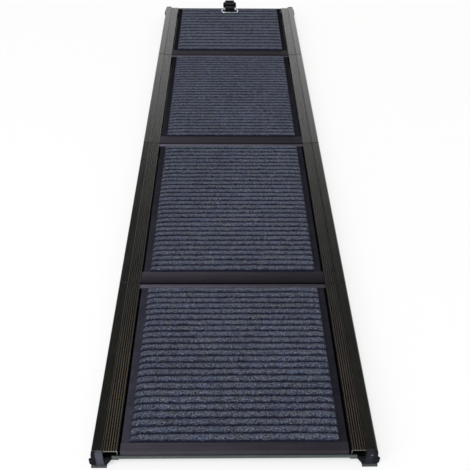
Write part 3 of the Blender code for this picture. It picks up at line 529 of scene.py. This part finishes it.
def shaded_to_far_end(tree, here, colour):
    """The boards' borders, lit more at the ramp's lower end, most on its left, as painted light, and darkened to deep
    black at its upper end as painted shade.
    """
    x, y, _ = parts(tree, here)
    light = remap(tree, y, *WHOLE_RAMP, 1.2, 0.30)
    # Painted light from the left, in the lower half only
    lean = times(tree, remap(tree, y, *LOWER_HALF, 1.0, 0.0), remap(tree, x, -0.18, 0.18, 0.55, -0.40))
    return lit(tree, colour, sums(tree, "MULTIPLY_ADD", light, lean, light))


def shaded_cap(tree, here, colour):
    """Caps: darkened as painted shade at their outer corners, on their gussets and behind their faces, and their faces
    lit more on the left as painted light.
    """
    x = parts(tree, here)[0]
    across = absolute(tree, x)
    # Painted shade outside the faces; painted light falling from left to right on them
    face = times(tree, remap(tree, across, *CAP_INNER), remap(tree, across, *CAP_OUTER))
    return lit(tree, colour, remap(tree, face, 0.0, 1.0, 0.22, remap(tree, x, *LEFT_TO_RIGHT, 1.25, 0.40)))


def moulded(name, dark, light, worn, grain, roughness, stretch=(60, 60, 60), gloss=0.5, ior=1.45, shade=None):
    """Moulded plastic or rubber with a pebbled skin, cloudy tone, rubbed edges and a little dust."""
    made, tree, shader, place = new_finish(name, Specular_IOR_Level=gloss, IOR=ior)
    here = place["Object"]
    skin = placed(tree, MOULDED_GRAIN, Place=here, Scale=grain)
    cloud = placed(tree, DRAWN_LINES, Place=here, Stretch=stretch)["Lines"]
    colour = mixed(tree, remap(tree, cloud, *MOST), dark, light)
    colour = mixed(tree, times(tree, edge_wear(tree, here, radius=0.0005), 0.5), colour, worn)
    colour = mixed(tree, dust(tree, here, cover=0.06), colour, PLASTIC_DUST)
    if shade:
        colour = shade(tree, here, colour)
    feed(tree, shader, Base_Color=colour,
         Roughness=remap(tree, skin["Scuffs"], 0.0, 1.0, roughness, roughness + 0.12),
         Normal=bump(tree, skin["Height"], distance=0.00008, strength=0.5))
    return made


def ribbed_carpet():
    """Marled pile with painted shade from crest to groove, set by the mesh's own pile values."""
    made, tree, shader, place = new_finish("ribbed_carpet", Roughness=0.95, Sheen_Weight=0.05, Sheen_Roughness=0.6,
                                           Specular_IOR_Level=0.1)
    pile = node(tree, "ShaderNodeAttribute", attribute_name="pile").outputs["Fac"]
    # The pile values set the painted shade from groove to crest
    pile = remap(tree, pile, 0.24, 0.95)
    marl = placed(tree, MARL, Place=place["Object"], Pile=pile, Flecks=0.55, **PILE_COLOURS)
    feed(tree, shader, Base_Color=marl["Colour"], Normal=bump(tree, marl["Height"], distance=0.0007, strength=0.8))
    return made


def coated_steel(name, colour, roughness):
    """Powder-coated steel with a faint orange peel and rubbed edges."""
    made, tree, shader, place = new_finish(name)
    here = place["Object"]
    peel = noise(tree, here, scale=1500.0, detail=2.0, roughness=0.5)
    cloud = noise(tree, here, scale=40.0, detail=3.0, roughness=0.6)
    wear = edge_wear(tree, here, radius=0.0004)
    shade = mixed(tree, cloud, colour, toned(colour, 1.6))
    shade = mixed(tree, dust(tree, here, cover=0.08), shade, STEEL_DUST)
    shade = mixed(tree, times(tree, wear, 0.7), shade, STEEL_WORN)
    feed(tree, shader, Base_Color=shade, Metallic=times(tree, wear, 0.8),
         Roughness=remap(tree, peel, *MOST, roughness, roughness + 0.1),
         Normal=bump(tree, peel, distance=0.00006, strength=0.5))
    return made


def bright_metal(name, colour, roughness, lines):
    """Bare bright metal with fine polishing lines, so many to the metre, and faint smudges."""
    made, tree, shader, place = new_finish(name, Metallic=1.0)
    drawn = placed(tree, DRAWN_LINES, Place=place["Object"], Stretch=(lines, lines, lines))
    feed(tree, shader, Base_Color=mixed(tree, remap(tree, drawn["Tone"], *MOST), colour, toned(colour, 0.82)),
         Roughness=remap(tree, drawn["Lines"], *MOST, roughness, roughness * 1.8),
         Normal=bump(tree, drawn["Lines"], distance=0.00002, strength=0.3))
    return made


def glossy_buckle():
    """Smooth deep black plastic with faint scuffs and rubbed edges."""
    made, tree, shader, place = new_finish("glossy_buckle", IOR=1.12, Specular_IOR_Level=0.03)
    here = place["Object"]
    skin = placed(tree, MOULDED_GRAIN, Place=here, Scale=500.0)
    cloud = noise(tree, here, scale=90.0, detail=3.0, roughness=0.6)
    colour = mixed(tree, cloud, BUCKLE_DARK, BUCKLE_LIGHT)
    colour = mixed(tree, times(tree, edge_wear(tree, here, radius=0.0004), 0.3), colour, BUCKLE_WORN)
    feed(tree, shader, Base_Color=colour, Roughness=remap(tree, skin["Scuffs"], 0.0, 1.0, 0.16, 0.3))
    return made


def black_webbing():
    """Dull black webbing, woven along the straps' own UVs, with painted shade in the weave's hollows."""
    made, tree, shader, place = new_finish("black_webbing", Specular_IOR_Level=0.05, IOR=1.1)
    weave = placed(tree, WEAVE, Strap=place["UV"], Thread=0.0012)
    yarn = noise(tree, place["Object"], scale=500.0, detail=2.0, roughness=0.6)
    base = mixed(tree, yarn, WEBBING_DARK, WEBBING_LIGHT)
    feed(tree, shader, Base_Color=lit(tree, base, weave["Shade"]),
         Roughness=remap(tree, weave["Height"], 0.0, 1.0, 0.95, 0.7),
         Normal=bump(tree, weave["Height"], distance=0.0003, strength=0.8))
    return made


FINISHES = {
    "rail": anodised_rail(),
    "board": moulded("board_skin", dark=(0.014, 0.014, 0.020, 1), light=(0.022, 0.021, 0.030, 1),
                     worn=(0.06, 0.06, 0.07, 1), grain=700.0, roughness=0.8, gloss=0.04, ior=1.15,
                     shade=shaded_to_far_end),
    "strip": moulded("strip_skin", dark=(0.024, 0.022, 0.030, 1), light=(0.038, 0.034, 0.044, 1),
                     worn=(0.12, 0.12, 0.13, 1), grain=900.0, roughness=0.5, stretch=(9, 700, 700), gloss=0.10,
                     ior=1.3, shade=shaded_to_joint),
    "carpet": ribbed_carpet(),
    "hinge": coated_steel("hinge_coat", (0.012, 0.012, 0.013, 1), roughness=0.38),
    "pin": bright_metal("pin_steel", (0.52, 0.52, 0.53, 1), roughness=0.22, lines=1200),
    "cap": moulded("cap_plastic", dark=(0.040, 0.041, 0.055, 1), light=(0.060, 0.061, 0.082, 1),
                   worn=(0.16, 0.16, 0.18, 1), grain=800.0, roughness=0.6, gloss=0.05, ior=1.15, shade=shaded_cap),
    "pad": moulded("pad_rubber", dark=(0.025, 0.032, 0.032, 1), light=(0.038, 0.047, 0.046, 1),
                   worn=(0.15, 0.18, 0.18, 1), grain=1100.0, roughness=0.7),
    "nose": moulded("nose_rubber", dark=(0.030, 0.040, 0.041, 1), light=(0.044, 0.056, 0.056, 1),
                    worn=(0.14, 0.16, 0.16, 1), grain=1100.0, roughness=0.6),
    "ring": bright_metal("ring_chrome", (0.50, 0.56, 0.58, 1), roughness=0.10, lines=900),
    "webbing": black_webbing(),
    "buckle": glossy_buckle(),
    "clamp": coated_steel("clamp_coat", (0.014, 0.014, 0.015, 1), roughness=0.35),
}


# ---- Pieces' common parts

def in_scene(name, data):
    """A new object in the scene."""
    made = bpy.data.objects.new(name, data)
    bpy.context.scene.collection.objects.link(made)
    return made


def new_piece(name, mesh, body, slot, replaced=()):
    """A finished piece that rides on a body and takes its finish from a slot."""
    mesh.materials.append(FINISHES[slot])
    piece = in_scene(name, mesh)
    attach(piece, body)
    if replaced:
        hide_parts(*replaced)
    return piece


def drafted(vertices, faces):
    """A bmesh of vertices and faces, with its faces turned outward."""
    bm = bmesh.new()
    corners = [bm.verts.new(place) for place in vertices]
    for face in faces:
        bm.faces.new([corners[n] for n in face])
    bm.verts.index_update()
    bmesh.ops.recalc_face_normals(bm, faces=bm.faces)
    return bm


def into_mesh(name, bm, smooth=True):
    """A mesh made from a bmesh."""
    mesh = bpy.data.meshes.new(name)
    bm.to_mesh(mesh)
    bm.free()
    if smooth:
        mesh.shade_smooth()
    return mesh


def round_edges(piece, width):
    """Rounds a piece's sharp edges a little, as made edges are."""
    weld = piece.modifiers.new("weld", "WELD")
    weld.merge_threshold = 0.00001
    round_off = piece.modifiers.new("edges", "BEVEL")
    round_off.width = width
    round_off.segments = 2
    round_off.limit_method = "ANGLE"
    round_off.angle_limit = math.radians(40)
    round_off.harden_normals = True


# ---- Carpets

def waves(rng, x, lengths, height):
    """A smooth random curve over x: sines of the given lengths with random phases."""
    total = np.zeros_like(x)
    for length in lengths:
        total += np.sin(2 * math.pi * x / length + rng.uniform(0, 2 * math.pi)) * rng.uniform(0.5, 1.0)
    return total * height / len(lengths)


def smoothed(field, times_over):
    """A random field softened by averaging neighbours, wrapped at its edges."""
    for _ in range(times_over):
        for axis in (0, 1):
            field = (field + np.roll(field, 1, axis) + np.roll(field, -1, axis)) / 3
    return field / field.std()


def from_least(least, share):
    """A value that rises from its least to 1 as a share goes from 0 to 1."""
    return least + (1 - least) * share


def pile_surface(low, high, ribs, seed):
    """The top of one carpet: arrays of X, Y, Z and pile, which is 0 in a groove and 1 on a crest and sets the painted
    shade, row by row.
    """
    rng = np.random.default_rng(seed)
    half = (high.x - low.x) / 2
    pitch = (high.y - low.y) / ribs
    shares = np.append(np.array([rib + share for rib in range(ribs) for share in RIB_ROWS]), ribs)
    across = np.linspace(-half, half, round(2 * half / PILE_COLUMN) + 1)
    rib_of = np.minimum(shares.astype(int), ribs - 1)
    within = shares - rib_of
    x, share = np.meshgrid(across, shares)
    profile = (1 - np.abs(2 * within - 1) ** RIB_FORM[0]) ** RIB_FORM[1]
    profile = np.repeat(profile[:, None], len(across), 1)

    wander = np.zeros((ribs + 1, len(across)))
    lift = np.zeros((ribs, len(across)))
    fray = np.zeros((ribs, 2))
    for rib in range(ribs + 1):
        wander[rib] = waves(rng, across, WANDER_WAVES, WANDER) + rng.normal(0, WANDER_SPREAD)
    for rib in range(ribs):
        lift[rib] = CREST_LIFT + rng.normal(0, CREST_SPREAD) + waves(rng, across, CREST_WAVES, CREST_SWING)
        fray[rib] = rng.uniform(0.0, END_FRAY, 2)
    wander[0] = wander[-1] = 0.0

    shift = wander[rib_of] * (1 - within)[:, None] + wander[rib_of + 1] * within[:, None]
    left = np.exp(-(x + half) / END_TURN) * LEFT_TURN
    right = np.exp(-(half - x) / END_TURN) * RIGHT_TURN
    inside = np.clip(np.minimum(share, ribs - share), 0, 1)
    y = low.y + share * pitch + (shift - (left + right) * inside)

    from_end = np.where(x < 0, x + half - fray[rib_of, :1], half - x - fray[rib_of, 1:])
    rounding = np.sqrt(np.clip(1 - (1 - np.clip(from_end / END_ROUNDING, 0, 1)) ** 2, 0, 1))
    tufts = smoothed(rng.normal(size=x.shape), 1) * 0.6 + smoothed(rng.normal(size=x.shape), 3) * 0.4
    rise = profile * lift[rib_of] * from_least(END_HEIGHT, rounding)
    z = high.z - RIB_HEIGHT + RIB_HEIGHT * rise + tufts * TUFT_RISE * from_least(GROOVE_TUFTS, profile)
    z = np.clip(z - END_DROOP * (1 - rounding), low.z + 0.001, high.z)
    y = np.clip(y + smoothed(rng.normal(size=x.shape), 1) * TUFT_LEAN, low.y, high.y)
    return x, y, z, np.clip(profile * from_least(END_PAINTED_LIGHT, rounding) + tufts * TUFT_PAINTED_LIGHT, 0, 1)


def solid_under(surface, bottom):
    """Vertices and faces of a solid with a surface on top and a flat bottom."""
    rows, columns = surface[0].shape
    top = np.stack(surface, -1).reshape(-1, 3)
    number = np.arange(rows * columns).reshape(rows, columns)
    rim = np.concatenate([number[0, :-1], number[:-1, -1], number[-1, :0:-1], number[:0:-1, 0]])
    foot = top[rim].copy()
    foot[:, 2] = bottom
    faces = np.stack([number[:-1, :-1], number[:-1, 1:], number[1:, 1:], number[1:, :-1]], -1).reshape(-1, 4)
    below = len(top) + np.arange(len(rim))
    walls = np.stack([rim, below, np.roll(below, -1), np.roll(rim, -1)], -1)
    return np.concatenate([top, foot]), [*faces.tolist(), *walls.tolist(), below[::-1].tolist()]


def make_carpet(panel, seed):
    """A tufted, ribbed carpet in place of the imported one."""
    source = f"{panel}_carpet"
    low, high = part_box(source)
    *surface, pile = pile_surface(low, high, RIB_COUNTS[panel], seed)
    vertices, faces = solid_under(surface, low.z)
    mesh = bpy.data.meshes.new(f"{source}_pile")
    mesh.from_pydata(vertices, [], faces)
    mesh.shade_smooth()
    values = np.append(pile.ravel(), np.zeros(len(vertices) - pile.size)).astype(np.float32)
    mesh.attributes.new("pile", "FLOAT", "POINT").data.foreach_set("value", values)
    new_piece(f"{source}_pile", mesh, f"{panel}_panel", "carpet", [source])


# ---- Tether

def unit(vectors):
    return vectors / np.linalg.norm(vectors, axis=1)[:, None]


def tube_faces(rows, count, closed):
    """The faces of a tube with count points to a row, and filled ends where it isn't closed."""
    faces = []
    for row in range(rows if closed else rows - 1):
        here, there = row * count, (row + 1) % rows * count
        for n in range(count):
            after = (n + 1) % count
            faces.append((here + n, here + after, there + after, there + n))
    if not closed:
        last = (rows - 1) * count
        faces += [tuple(range(count))[::-1], tuple(range(last, last + count))]
    return faces


def sweep(path, section, closed):
    """A tube of one section along a YZ path: a section point is X and the distance out of the path."""
    ahead = np.roll(path, -1, 0) - path
    behind = path - np.roll(path, 1, 0)
    if not closed:
        ahead[-1], behind[0] = behind[-1], ahead[0]
    run = unit(unit(ahead) + unit(behind))
    out = np.stack([-run[:, 1], run[:, 0]], -1)
    vertices = [(x, *(place + side * rise)) for place, side in zip(path, out) for x, rise in section]
    return vertices, tube_faces(len(path), len(section), closed)


def bent(centre, radius, first, last, steps):
    """Points along an arc about a centre, from one angle in degrees to another."""
    turns = np.radians(np.linspace(first, last, steps + 1))
    return [(centre[0] + radius * math.cos(a), centre[1] + radius * math.sin(a)) for a in turns]


def evened(path, step, closed):
    """A path with points set evenly, about a step apart."""
    path = np.array([*path, path[0]] if closed else path)
    lengths = np.append(0, np.cumsum(np.linalg.norm(np.diff(path, axis=0), axis=1)))
    places = np.linspace(0, lengths[-1], max(2, round(lengths[-1] / step) + 1))
    places = places[:-1] if closed else places
    return np.stack([np.interp(places, lengths, path[:, 0]), np.interp(places, lengths, path[:, 1])], -1)


def strap_section():
    """The webbing's flat section with rounded selvedges."""
    r = STRAP_THICKNESS / 2
    across = np.linspace(-STRAP_HALF + r, STRAP_HALF - r, 14)
    ends = np.radians(np.linspace(90, -90, 6))[1:-1]
    right = [(STRAP_HALF - r + r * math.cos(a), r * math.sin(a)) for a in ends]
    left = [(-x, -z) for x, z in right]
    return [*((x, r) for x in across), *right, *((x, -r) for x in across[::-1]), *left]


def make_strap(name, path, body, replaced, seed, closed=False):
    """A woven strap along a path, with metres across and along it as UVs, and uneven edges."""
    rng = np.random.default_rng(seed)
    path = evened(path, STRAP_STEP, closed)
    section = strap_section()
    vertices, faces = sweep(path, section, closed)
    rows, count = len(path), len(section)
    vertices = np.array(vertices)
    stray = waves(rng, np.arange(rows) * STRAP_STEP, SELVEDGE_WAVES, SELVEDGE_STRAY)
    if closed:
        stray *= np.sin(np.pi * np.arange(rows) / rows)
    vertices[:, 0] *= 1 + stray[np.arange(len(vertices)) // count] / STRAP_HALF
    bm = drafted(vertices.tolist(), faces)
    layer = bm.loops.layers.uv.new("strap")
    for face in bm.faces:
        places = [loop.vert.index // count for loop in face.loops]
        wraps = max(places) - min(places) > 1
        for loop, at in zip(face.loops, places):
            along = (at + (rows if wraps and at == 0 else 0)) * STRAP_STEP
            loop[layer].uv = (loop.vert.co.x, along)
    new_piece(name, into_mesh(name, bm), body, "webbing", replaced)


def strap_on(surface):
    """Where a strap's middle lies on a surface at a height, or round a bar of a radius."""
    return surface + STRAP_GAP + STRAP_THICKNESS / 2


def make_tether_strap():
    """The loop of webbing from the ring, under the clamp, to the socket's bar."""
    low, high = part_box("tether_clamp")
    upper = high.z - CLAMP_PLATE - STRAP_GAP - STRAP_THICKNESS / 2
    lower = upper - STRAP_THICKNESS - LAYER_GAP
    on_carpet = strap_on(CARPET_CREST)
    path = [*bent(RING_FAR, strap_on(RING_RADIUS), *RING_WRAP, 24), (STRIP_EDGE, on_carpet), (low.y, lower),
            (high.y, lower), *bent(SOCKET_BAR, strap_on(BAR_RADIUS), -90 - SOCKET_LEAN, 90 - SOCKET_LEAN, 14),
            (high.y, upper), (low.y, upper), (STRIP_EDGE, on_carpet + STRAP_THICKNESS + LAYER_GAP)]
    make_strap("tether_strap", path, "upper_end_panel", ["tether_webbing"], seed=21, closed=True)


def tail_directions():
    """The YZ directions along the tail and out of its upper side."""
    rise = math.radians(TAIL_RISE)
    return (math.cos(rise), math.sin(rise)), (-math.sin(rise), math.cos(rise))


def make_tether_tail():
    """The end of the webbing: two layers from the plug's bar, sewn together."""
    turn = strap_on(BAR_RADIUS)
    run, up = (np.array(direction) for direction in tail_directions())
    up = up * STRAP_THICKNESS / 2 * TAIL_SPREAD
    end = np.array(PLUG_BAR) + run * TAIL_LENGTH
    meets = math.degrees(math.asin(STRAP_THICKNESS / 2 / turn))
    path = [end + up, *bent(PLUG_BAR, turn, meets + TAIL_RISE, 360 - meets + TAIL_RISE, 24), end - up]
    make_strap("tether_tail_strap", path, "plug", ["tether_tail"], seed=22)


def make_stitches(name, rows, body):
    """Sewing thread on top of a strap. A row is its first and last point and the way its thread stands out."""
    bm = bmesh.new()
    size = Matrix.Diagonal((STITCH_RADIUS, STITCH_LENGTH, STITCH_RADIUS * STITCH_RISE, 1))
    for first, last, out in rows:
        first, last, out = Vector(first), Vector(last), Vector(out).normalized()
        count = max(2, round((last - first).length / STITCH_PITCH))
        run = (last - first).normalized()
        turn = Matrix((run.cross(out), run, out)).transposed().to_4x4()
        for stitch in range(count):
            middle = first.lerp(last, (stitch + 0.5) / count) + out * STITCH_RADIUS * STITCH_SUNK
            bmesh.ops.create_uvsphere(bm, u_segments=8, v_segments=6, radius=1.0,
                                      matrix=Matrix.Translation(middle) @ turn @ size)
    new_piece(name, into_mesh(name, bm), body, "webbing")


def make_sewing():
    """A box beside the ring, and two rows across the tail."""
    half = STRAP_HALF - SEWN_INSET
    top = CARPET_CREST + STRAP_GAP + BOX_LAYERS * STRAP_THICKNESS
    rows = [((-half, y, top), (half, y, top), (0, 0, 1)) for y in (BOX_START, BOX_END)]
    rows += [((x, BOX_START, top), (x, BOX_END, top), (0, 0, 1)) for x in (-half, half)]
    make_stitches("tether_strap_stitches", rows, "upper_end_panel")
    run, up = (Vector((0, *direction)) for direction in tail_directions())
    side = Vector((half, 0, 0))
    rows = []
    for along in TAIL_ROWS:
        middle = Vector((0, *PLUG_BAR)) + run * along + up * STRAP_THICKNESS * TAIL_LAYERS
        rows.append((middle - side, middle + side, up))
    make_stitches("tether_tail_stitches", rows, "plug")


def make_ring_wire():
    """The ring as a smooth bent wire, with its weld on the far bar inside the webbing."""
    (far, far_z), (near, near_z) = RING_FAR, RING_NEAR
    slope = (far_z - near_z) / (far - near)
    path = []
    for x, y, inward, first in ((1, far, -1, 0), (-1, far, -1, 90), (-1, near, 1, 180), (1, near, 1, 270)):
        centre = (x * (RING_HALF - RING_CORNER), y + inward * RING_CORNER)
        path += bent(centre, RING_CORNER, first, first + 90, 12)
    path = evened(path, RING_STEP, closed=True)
    ahead = unit(np.roll(path, -1, 0) - np.roll(path, 1, 0))
    out = np.stack([ahead[:, 1], -ahead[:, 0]], -1)
    far_bar = path[:, 1] > path[:, 1].mean() + 0.008
    vertices = []
    turns = np.radians(np.arange(0, 360, 18))
    for place, side, on_far_bar in zip(path, out, far_bar):
        weld = math.exp(-((place[0] - WELD_PLACE) / WELD_LENGTH) ** 2) * on_far_bar
        radius = RING_RADIUS * (1 + WELD_BULGE * weld)
        for turn in turns:
            x, y = place + side * radius * math.cos(turn)
            vertices.append((x, y, near_z + (y - near) * slope + radius * math.sin(turn)))
    bm = drafted(vertices, tube_faces(len(path), len(turns), closed=True))
    new_piece("tether_ring_wire", into_mesh("tether_ring_wire", bm), "ring", "ring", ["tether_ring"])


# ---- Screws, rivets and fenders

def dome(bm, place, head, out):
    """A low domed head on a surface at a place, with a cross recess where its slots have a width."""
    radius, rise, slot_half = head
    up = Vector(out).normalized()
    across = up.orthogonal().normalized()
    along = up.cross(across)
    levels = [rise * (1 - share ** HEAD_CURVE) * (1 - HEAD_EDGE) + rise * HEAD_EDGE for share in HEAD_RINGS]
    rings = []
    for share, level in zip((*HEAD_RINGS, 1.0), (*levels, -rise * HEAD_SKIRT)):
        corners = []
        for side in range(HEAD_SIDES if share else 1):
            angle = 2 * math.pi * side / HEAD_SIDES
            a, b = radius * share * math.cos(angle), radius * share * math.sin(angle)
            slotted = slot_half and share <= RECESS_REACH and min(abs(a), abs(b)) < slot_half
            height = level - (rise * RECESS_DEPTH if slotted else 0)
            corners.append(bm.verts.new(Vector(place) + across * a + along * b + up * height))
        rings.append(corners)
    for n in range(HEAD_SIDES):
        after = (n + 1) % HEAD_SIDES
        bm.faces.new((rings[0][0], rings[1][n], rings[1][after]))
        for inner, outer in zip(rings[1:], rings[2:]):
            bm.faces.new((inner[n], outer[n], outer[after], inner[after]))
    bm.faces.new(rings[-1][::-1])


def make_heads(name, places, head, out, body, slot):
    """Several screw or rivet heads as one piece."""
    bm = bmesh.new()
    for place in places:
        dome(bm, place, head, out)
    bmesh.ops.recalc_face_normals(bm, faces=bm.faces)
    mesh = into_mesh(name, bm)
    mesh.set_sharp_from_angle(angle=math.radians(50))
    new_piece(name, mesh, body, slot)


def pin_of(leaf):
    """The Y of a hinge leaf's pin, which is the one nearest to an edge of the leaf."""
    low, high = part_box(leaf)
    pins = (SPINE_HALF, -SPINE_HALF, JOINT_SPACING, -JOINT_SPACING)
    ends = [(abs(edge - MIDDLE_JOINT - pin), pin) for edge in (low.y, high.y) for pin in pins]
    return min(ends)[1] + MIDDLE_JOINT


def make_leaf_screws(leaf):
    """Four cross-headed screws through one hinge leaf, in two staggered rows."""
    low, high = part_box(leaf)
    middle = (low + high) / 2
    pin = pin_of(leaf)
    toward = 1 if abs(high.y - pin) > abs(low.y - pin) else -1
    places = [(middle.x + side * across, pin + toward * along, LEAF_UNDER)
              for across, along in LEAF_SCREWS for side in (-1, 1)]
    body = next(body for body, nodes in BODIES.items() if leaf in nodes)
    make_heads(f"{leaf}_screws", places, LEAF_SCREW, (0, 0, -1), body, "pin")


def make_clamp_rivets():
    """The heads of the clamp's two studs."""
    low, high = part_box("tether_clamp")
    places = [(x, (low.y + high.y) / 2, high.z) for x in RIVETS_X]
    make_heads("tether_clamp_rivets", places, CLAMP_RIVET, (0, 0, 1), "upper_end_panel", "clamp")


def make_cap_screw(panel, outward, side_name, side):
    """The screw in an end cap's outer face."""
    cap = f"{panel}_{side_name}_cap"
    low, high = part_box(cap)
    x, z = CAP_SCREW_AT
    place = (side * x, low.y if outward < 0 else high.y, z)
    make_heads(f"{cap}_screw", [place], CAP_SCREW, (0, outward, 0), f"{panel}_panel", "clamp")


def make_fender(side_name, side):
    """The wedge outside an upper end cap, against a bumper or a sill."""
    cap = f"upper_end_{side_name}_cap"
    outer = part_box(cap)[1].y
    vertices = [(side * x, outer - end, z) for end in FENDER_ENDS for x, z in FENDER_SECTION]
    bm = drafted(vertices, tube_faces(len(FENDER_ENDS), len(FENDER_SECTION), closed=False))
    mesh = into_mesh(f"{cap}_fender", bm, smooth=False)
    round_edges(new_piece(f"{cap}_fender", mesh, "upper_end_panel", "cap"), FENDER_ROUNDING)


# ---- The ramp

for row in SUBPARTS:
    NODES[row["node"]].material_slots[0].material = FINISHES[row["material_slot"]]

for seed, panel in enumerate(RIB_COUNTS, 11):
    make_carpet(panel, seed)

make_tether_strap()
make_tether_tail()
make_sewing()
make_ring_wire()
for side_name, side in SIDES:
    make_fender(side_name, side)
for leaf in NODES:
    if leaf.endswith("_leaf"):
        make_leaf_screws(leaf)
make_clamp_rivets()
for panel, outward in (("lower_end", -1), ("upper_end", 1)):
    for side_name, side in SIDES:
        make_cap_screw(panel, outward, side_name, side)

for row in SUBPARTS:
    if row["material_slot"] in EDGE_WIDTHS:
        round_edges(NODES[row["node"]], EDGE_WIDTHS[row["material_slot"]])


# ---- Stage, light and camera

def keep_under_ramp(floor):
    """Lowers the floor to the ramp's lowest point however it is folded."""
    standing = bpy.data.collections.new("standing")
    for packed in NODES.values():
        standing.objects.link(packed)
    tree = bpy.data.node_groups.new("under_the_ramp", "GeometryNodeTree")
    for way in ("INPUT", "OUTPUT"):
        tree.interface.new_socket("Geometry", in_out=way, socket_type="NodeSocketGeometry")
    given = tree.nodes.new("NodeGroupInput").outputs[0]
    ramp = node(tree, "GeometryNodeCollectionInfo", {"Collection": standing}, transform_space="RELATIVE").outputs[0]
    real = node(tree, "GeometryNodeRealizeInstances", {"Geometry": ramp}).outputs[0]
    lowest = node(tree, "GeometryNodeBoundBox", {"Geometry": real}).outputs["Min"]
    down = node(tree, "ShaderNodeCombineXYZ", {2: parts(tree, lowest)[2]}).outputs[0]
    moved = node(tree, "GeometryNodeSetPosition", {"Geometry": given, "Offset": down}).outputs[0]
    tree.links.new(moved, tree.nodes.new("NodeGroupOutput").inputs[0])
    floor.modifiers.new("under_the_ramp", "NODES").node_group = tree


def pale_floor():
    """Matt and pale, whiter to the camera, clear from below, and glowing faintly to other rays as a painted light on
    the ramp's underside.
    """
    made = bpy.data.materials.new("pale_floor")
    made.use_nodes = True
    tree = made.node_tree
    tree.nodes.clear()
    seen = node(tree, "ShaderNodeLightPath").outputs["Is Camera Ray"]
    below = node(tree, "ShaderNodeNewGeometry").outputs["Backfacing"]
    matt = node(tree, "ShaderNodeBsdfDiffuse", {"Color": FLOOR_COLOUR}).outputs[0]
    glow = node(tree, "ShaderNodeEmission", {"Strength": 1.0}).outputs[0]
    underside_glow = node(tree, "ShaderNodeEmission", {"Strength": FLOOR_UNDERSIDE_GLOW}).outputs[0]
    unseen = sums(tree, "SUBTRACT", 1.0, seen)
    added = node(tree, "ShaderNodeMixShader", {0: unseen, 2: underside_glow}).outputs[0]
    top = node(tree, "ShaderNodeAddShader", {0: matt, 1: added}).outputs[0]
    top = node(tree, "ShaderNodeMixShader", {0: times(tree, seen, FLOOR_WHITE), 1: top, 2: glow}).outputs[0]
    clear = node(tree, "ShaderNodeBsdfTransparent").outputs[0]
    both = node(tree, "ShaderNodeMixShader", {0: times(tree, seen, below), 1: top, 2: clear}).outputs[0]
    node(tree, "ShaderNodeOutputMaterial", {"Surface": both})
    return made


def make_floor():
    corners = [(x * FLOOR_SIDE, y * FLOOR_SIDE, 0) for x, y in ((-1, -1), (1, -1), (1, 1), (-1, 1))]
    mesh = bpy.data.meshes.new("floor")
    mesh.from_pydata(corners, [], [(0, 1, 2, 3)])
    mesh.materials.append(pale_floor())
    floor = in_scene("floor", mesh)
    keep_under_ramp(floor)


def make_world():
    """White behind everything. Reflections see a bright horizon under a dark ceiling that leans to one side, and soft
    light comes from all round."""
    world = bpy.data.worlds.new("studio")
    bpy.context.scene.world = world
    world.use_nodes = True
    tree = world.node_tree
    tree.nodes.clear()
    path = node(tree, "ShaderNodeLightPath").outputs
    direction = node(tree, "ShaderNodeTexCoord").outputs["Generated"]
    up = facing(tree, direction, CEILING_TILT)
    ceiling = remap(tree, up, *HORIZON, HORIZON_LIGHT, CEILING_LIGHT, smooth=True)
    sharp = sums(tree, "MAXIMUM", path["Is Glossy Ray"], path["Is Transmission Ray"])
    soft = times(tree, sums(tree, "SUBTRACT", 1.0, sharp), SOFT_LIGHT)
    light = sums(tree, "ADD", times(tree, sharp, ceiling), soft)
    hidden = sums(tree, "SUBTRACT", 1.0, path["Is Camera Ray"])
    strength = sums(tree, "ADD", path["Is Camera Ray"], times(tree, hidden, light))
    back = node(tree, "ShaderNodeBackground", {"Color": (1, 1, 1, 1), "Strength": strength}).outputs[0]
    node(tree, "ShaderNodeOutputWorld", {"Surface": back})


def make_lamp(name, kind, place, target, energy, colour, **settings):
    data = bpy.data.lights.new(name, kind)
    data.energy = energy
    data.color = colour
    for key, value in settings.items():
        setattr(data, key, value)
    lamp = in_scene(name, data)
    lamp.location = place
    lamp.rotation_euler = (Vector(target) - Vector(place)).to_track_quat("-Z", "Y").to_euler()


def make_camera():
    data = bpy.data.cameras.new("camera")
    data.lens = CAMERA_LENS
    data.sensor_width = 36.0
    data.clip_start = 0.01
    data.clip_end = 100.0
    camera = in_scene("camera", data)
    turn = Matrix.Rotation(-CAMERA_YAW, 4, "Z") @ Matrix.Rotation(math.pi / 2 - CAMERA_DOWN, 4, "X")
    camera.matrix_world = Matrix.Translation(CAMERA_PLACE) @ turn @ Matrix.Rotation(CAMERA_ROLL, 4, "Z")
    bpy.context.scene.camera = camera


make_floor()
make_world()
make_lamp("softbox", "SUN", place=(-0.9, -1.6, 3.6), target=(0, 0, 0), energy=1.6, colour=(1.0, 0.99, 0.97),
          angle=math.radians(24))
make_lamp("window", "AREA", place=(-1.5, -2.1, 1.3), target=(-0.1, -0.8, 0), energy=14.0, colour=(0.86, 0.92, 1.0),
          shape="RECTANGLE", size=0.9, size_y=1.2)
make_camera()
bpy.context.scene.view_settings.view_transform = "Standard"
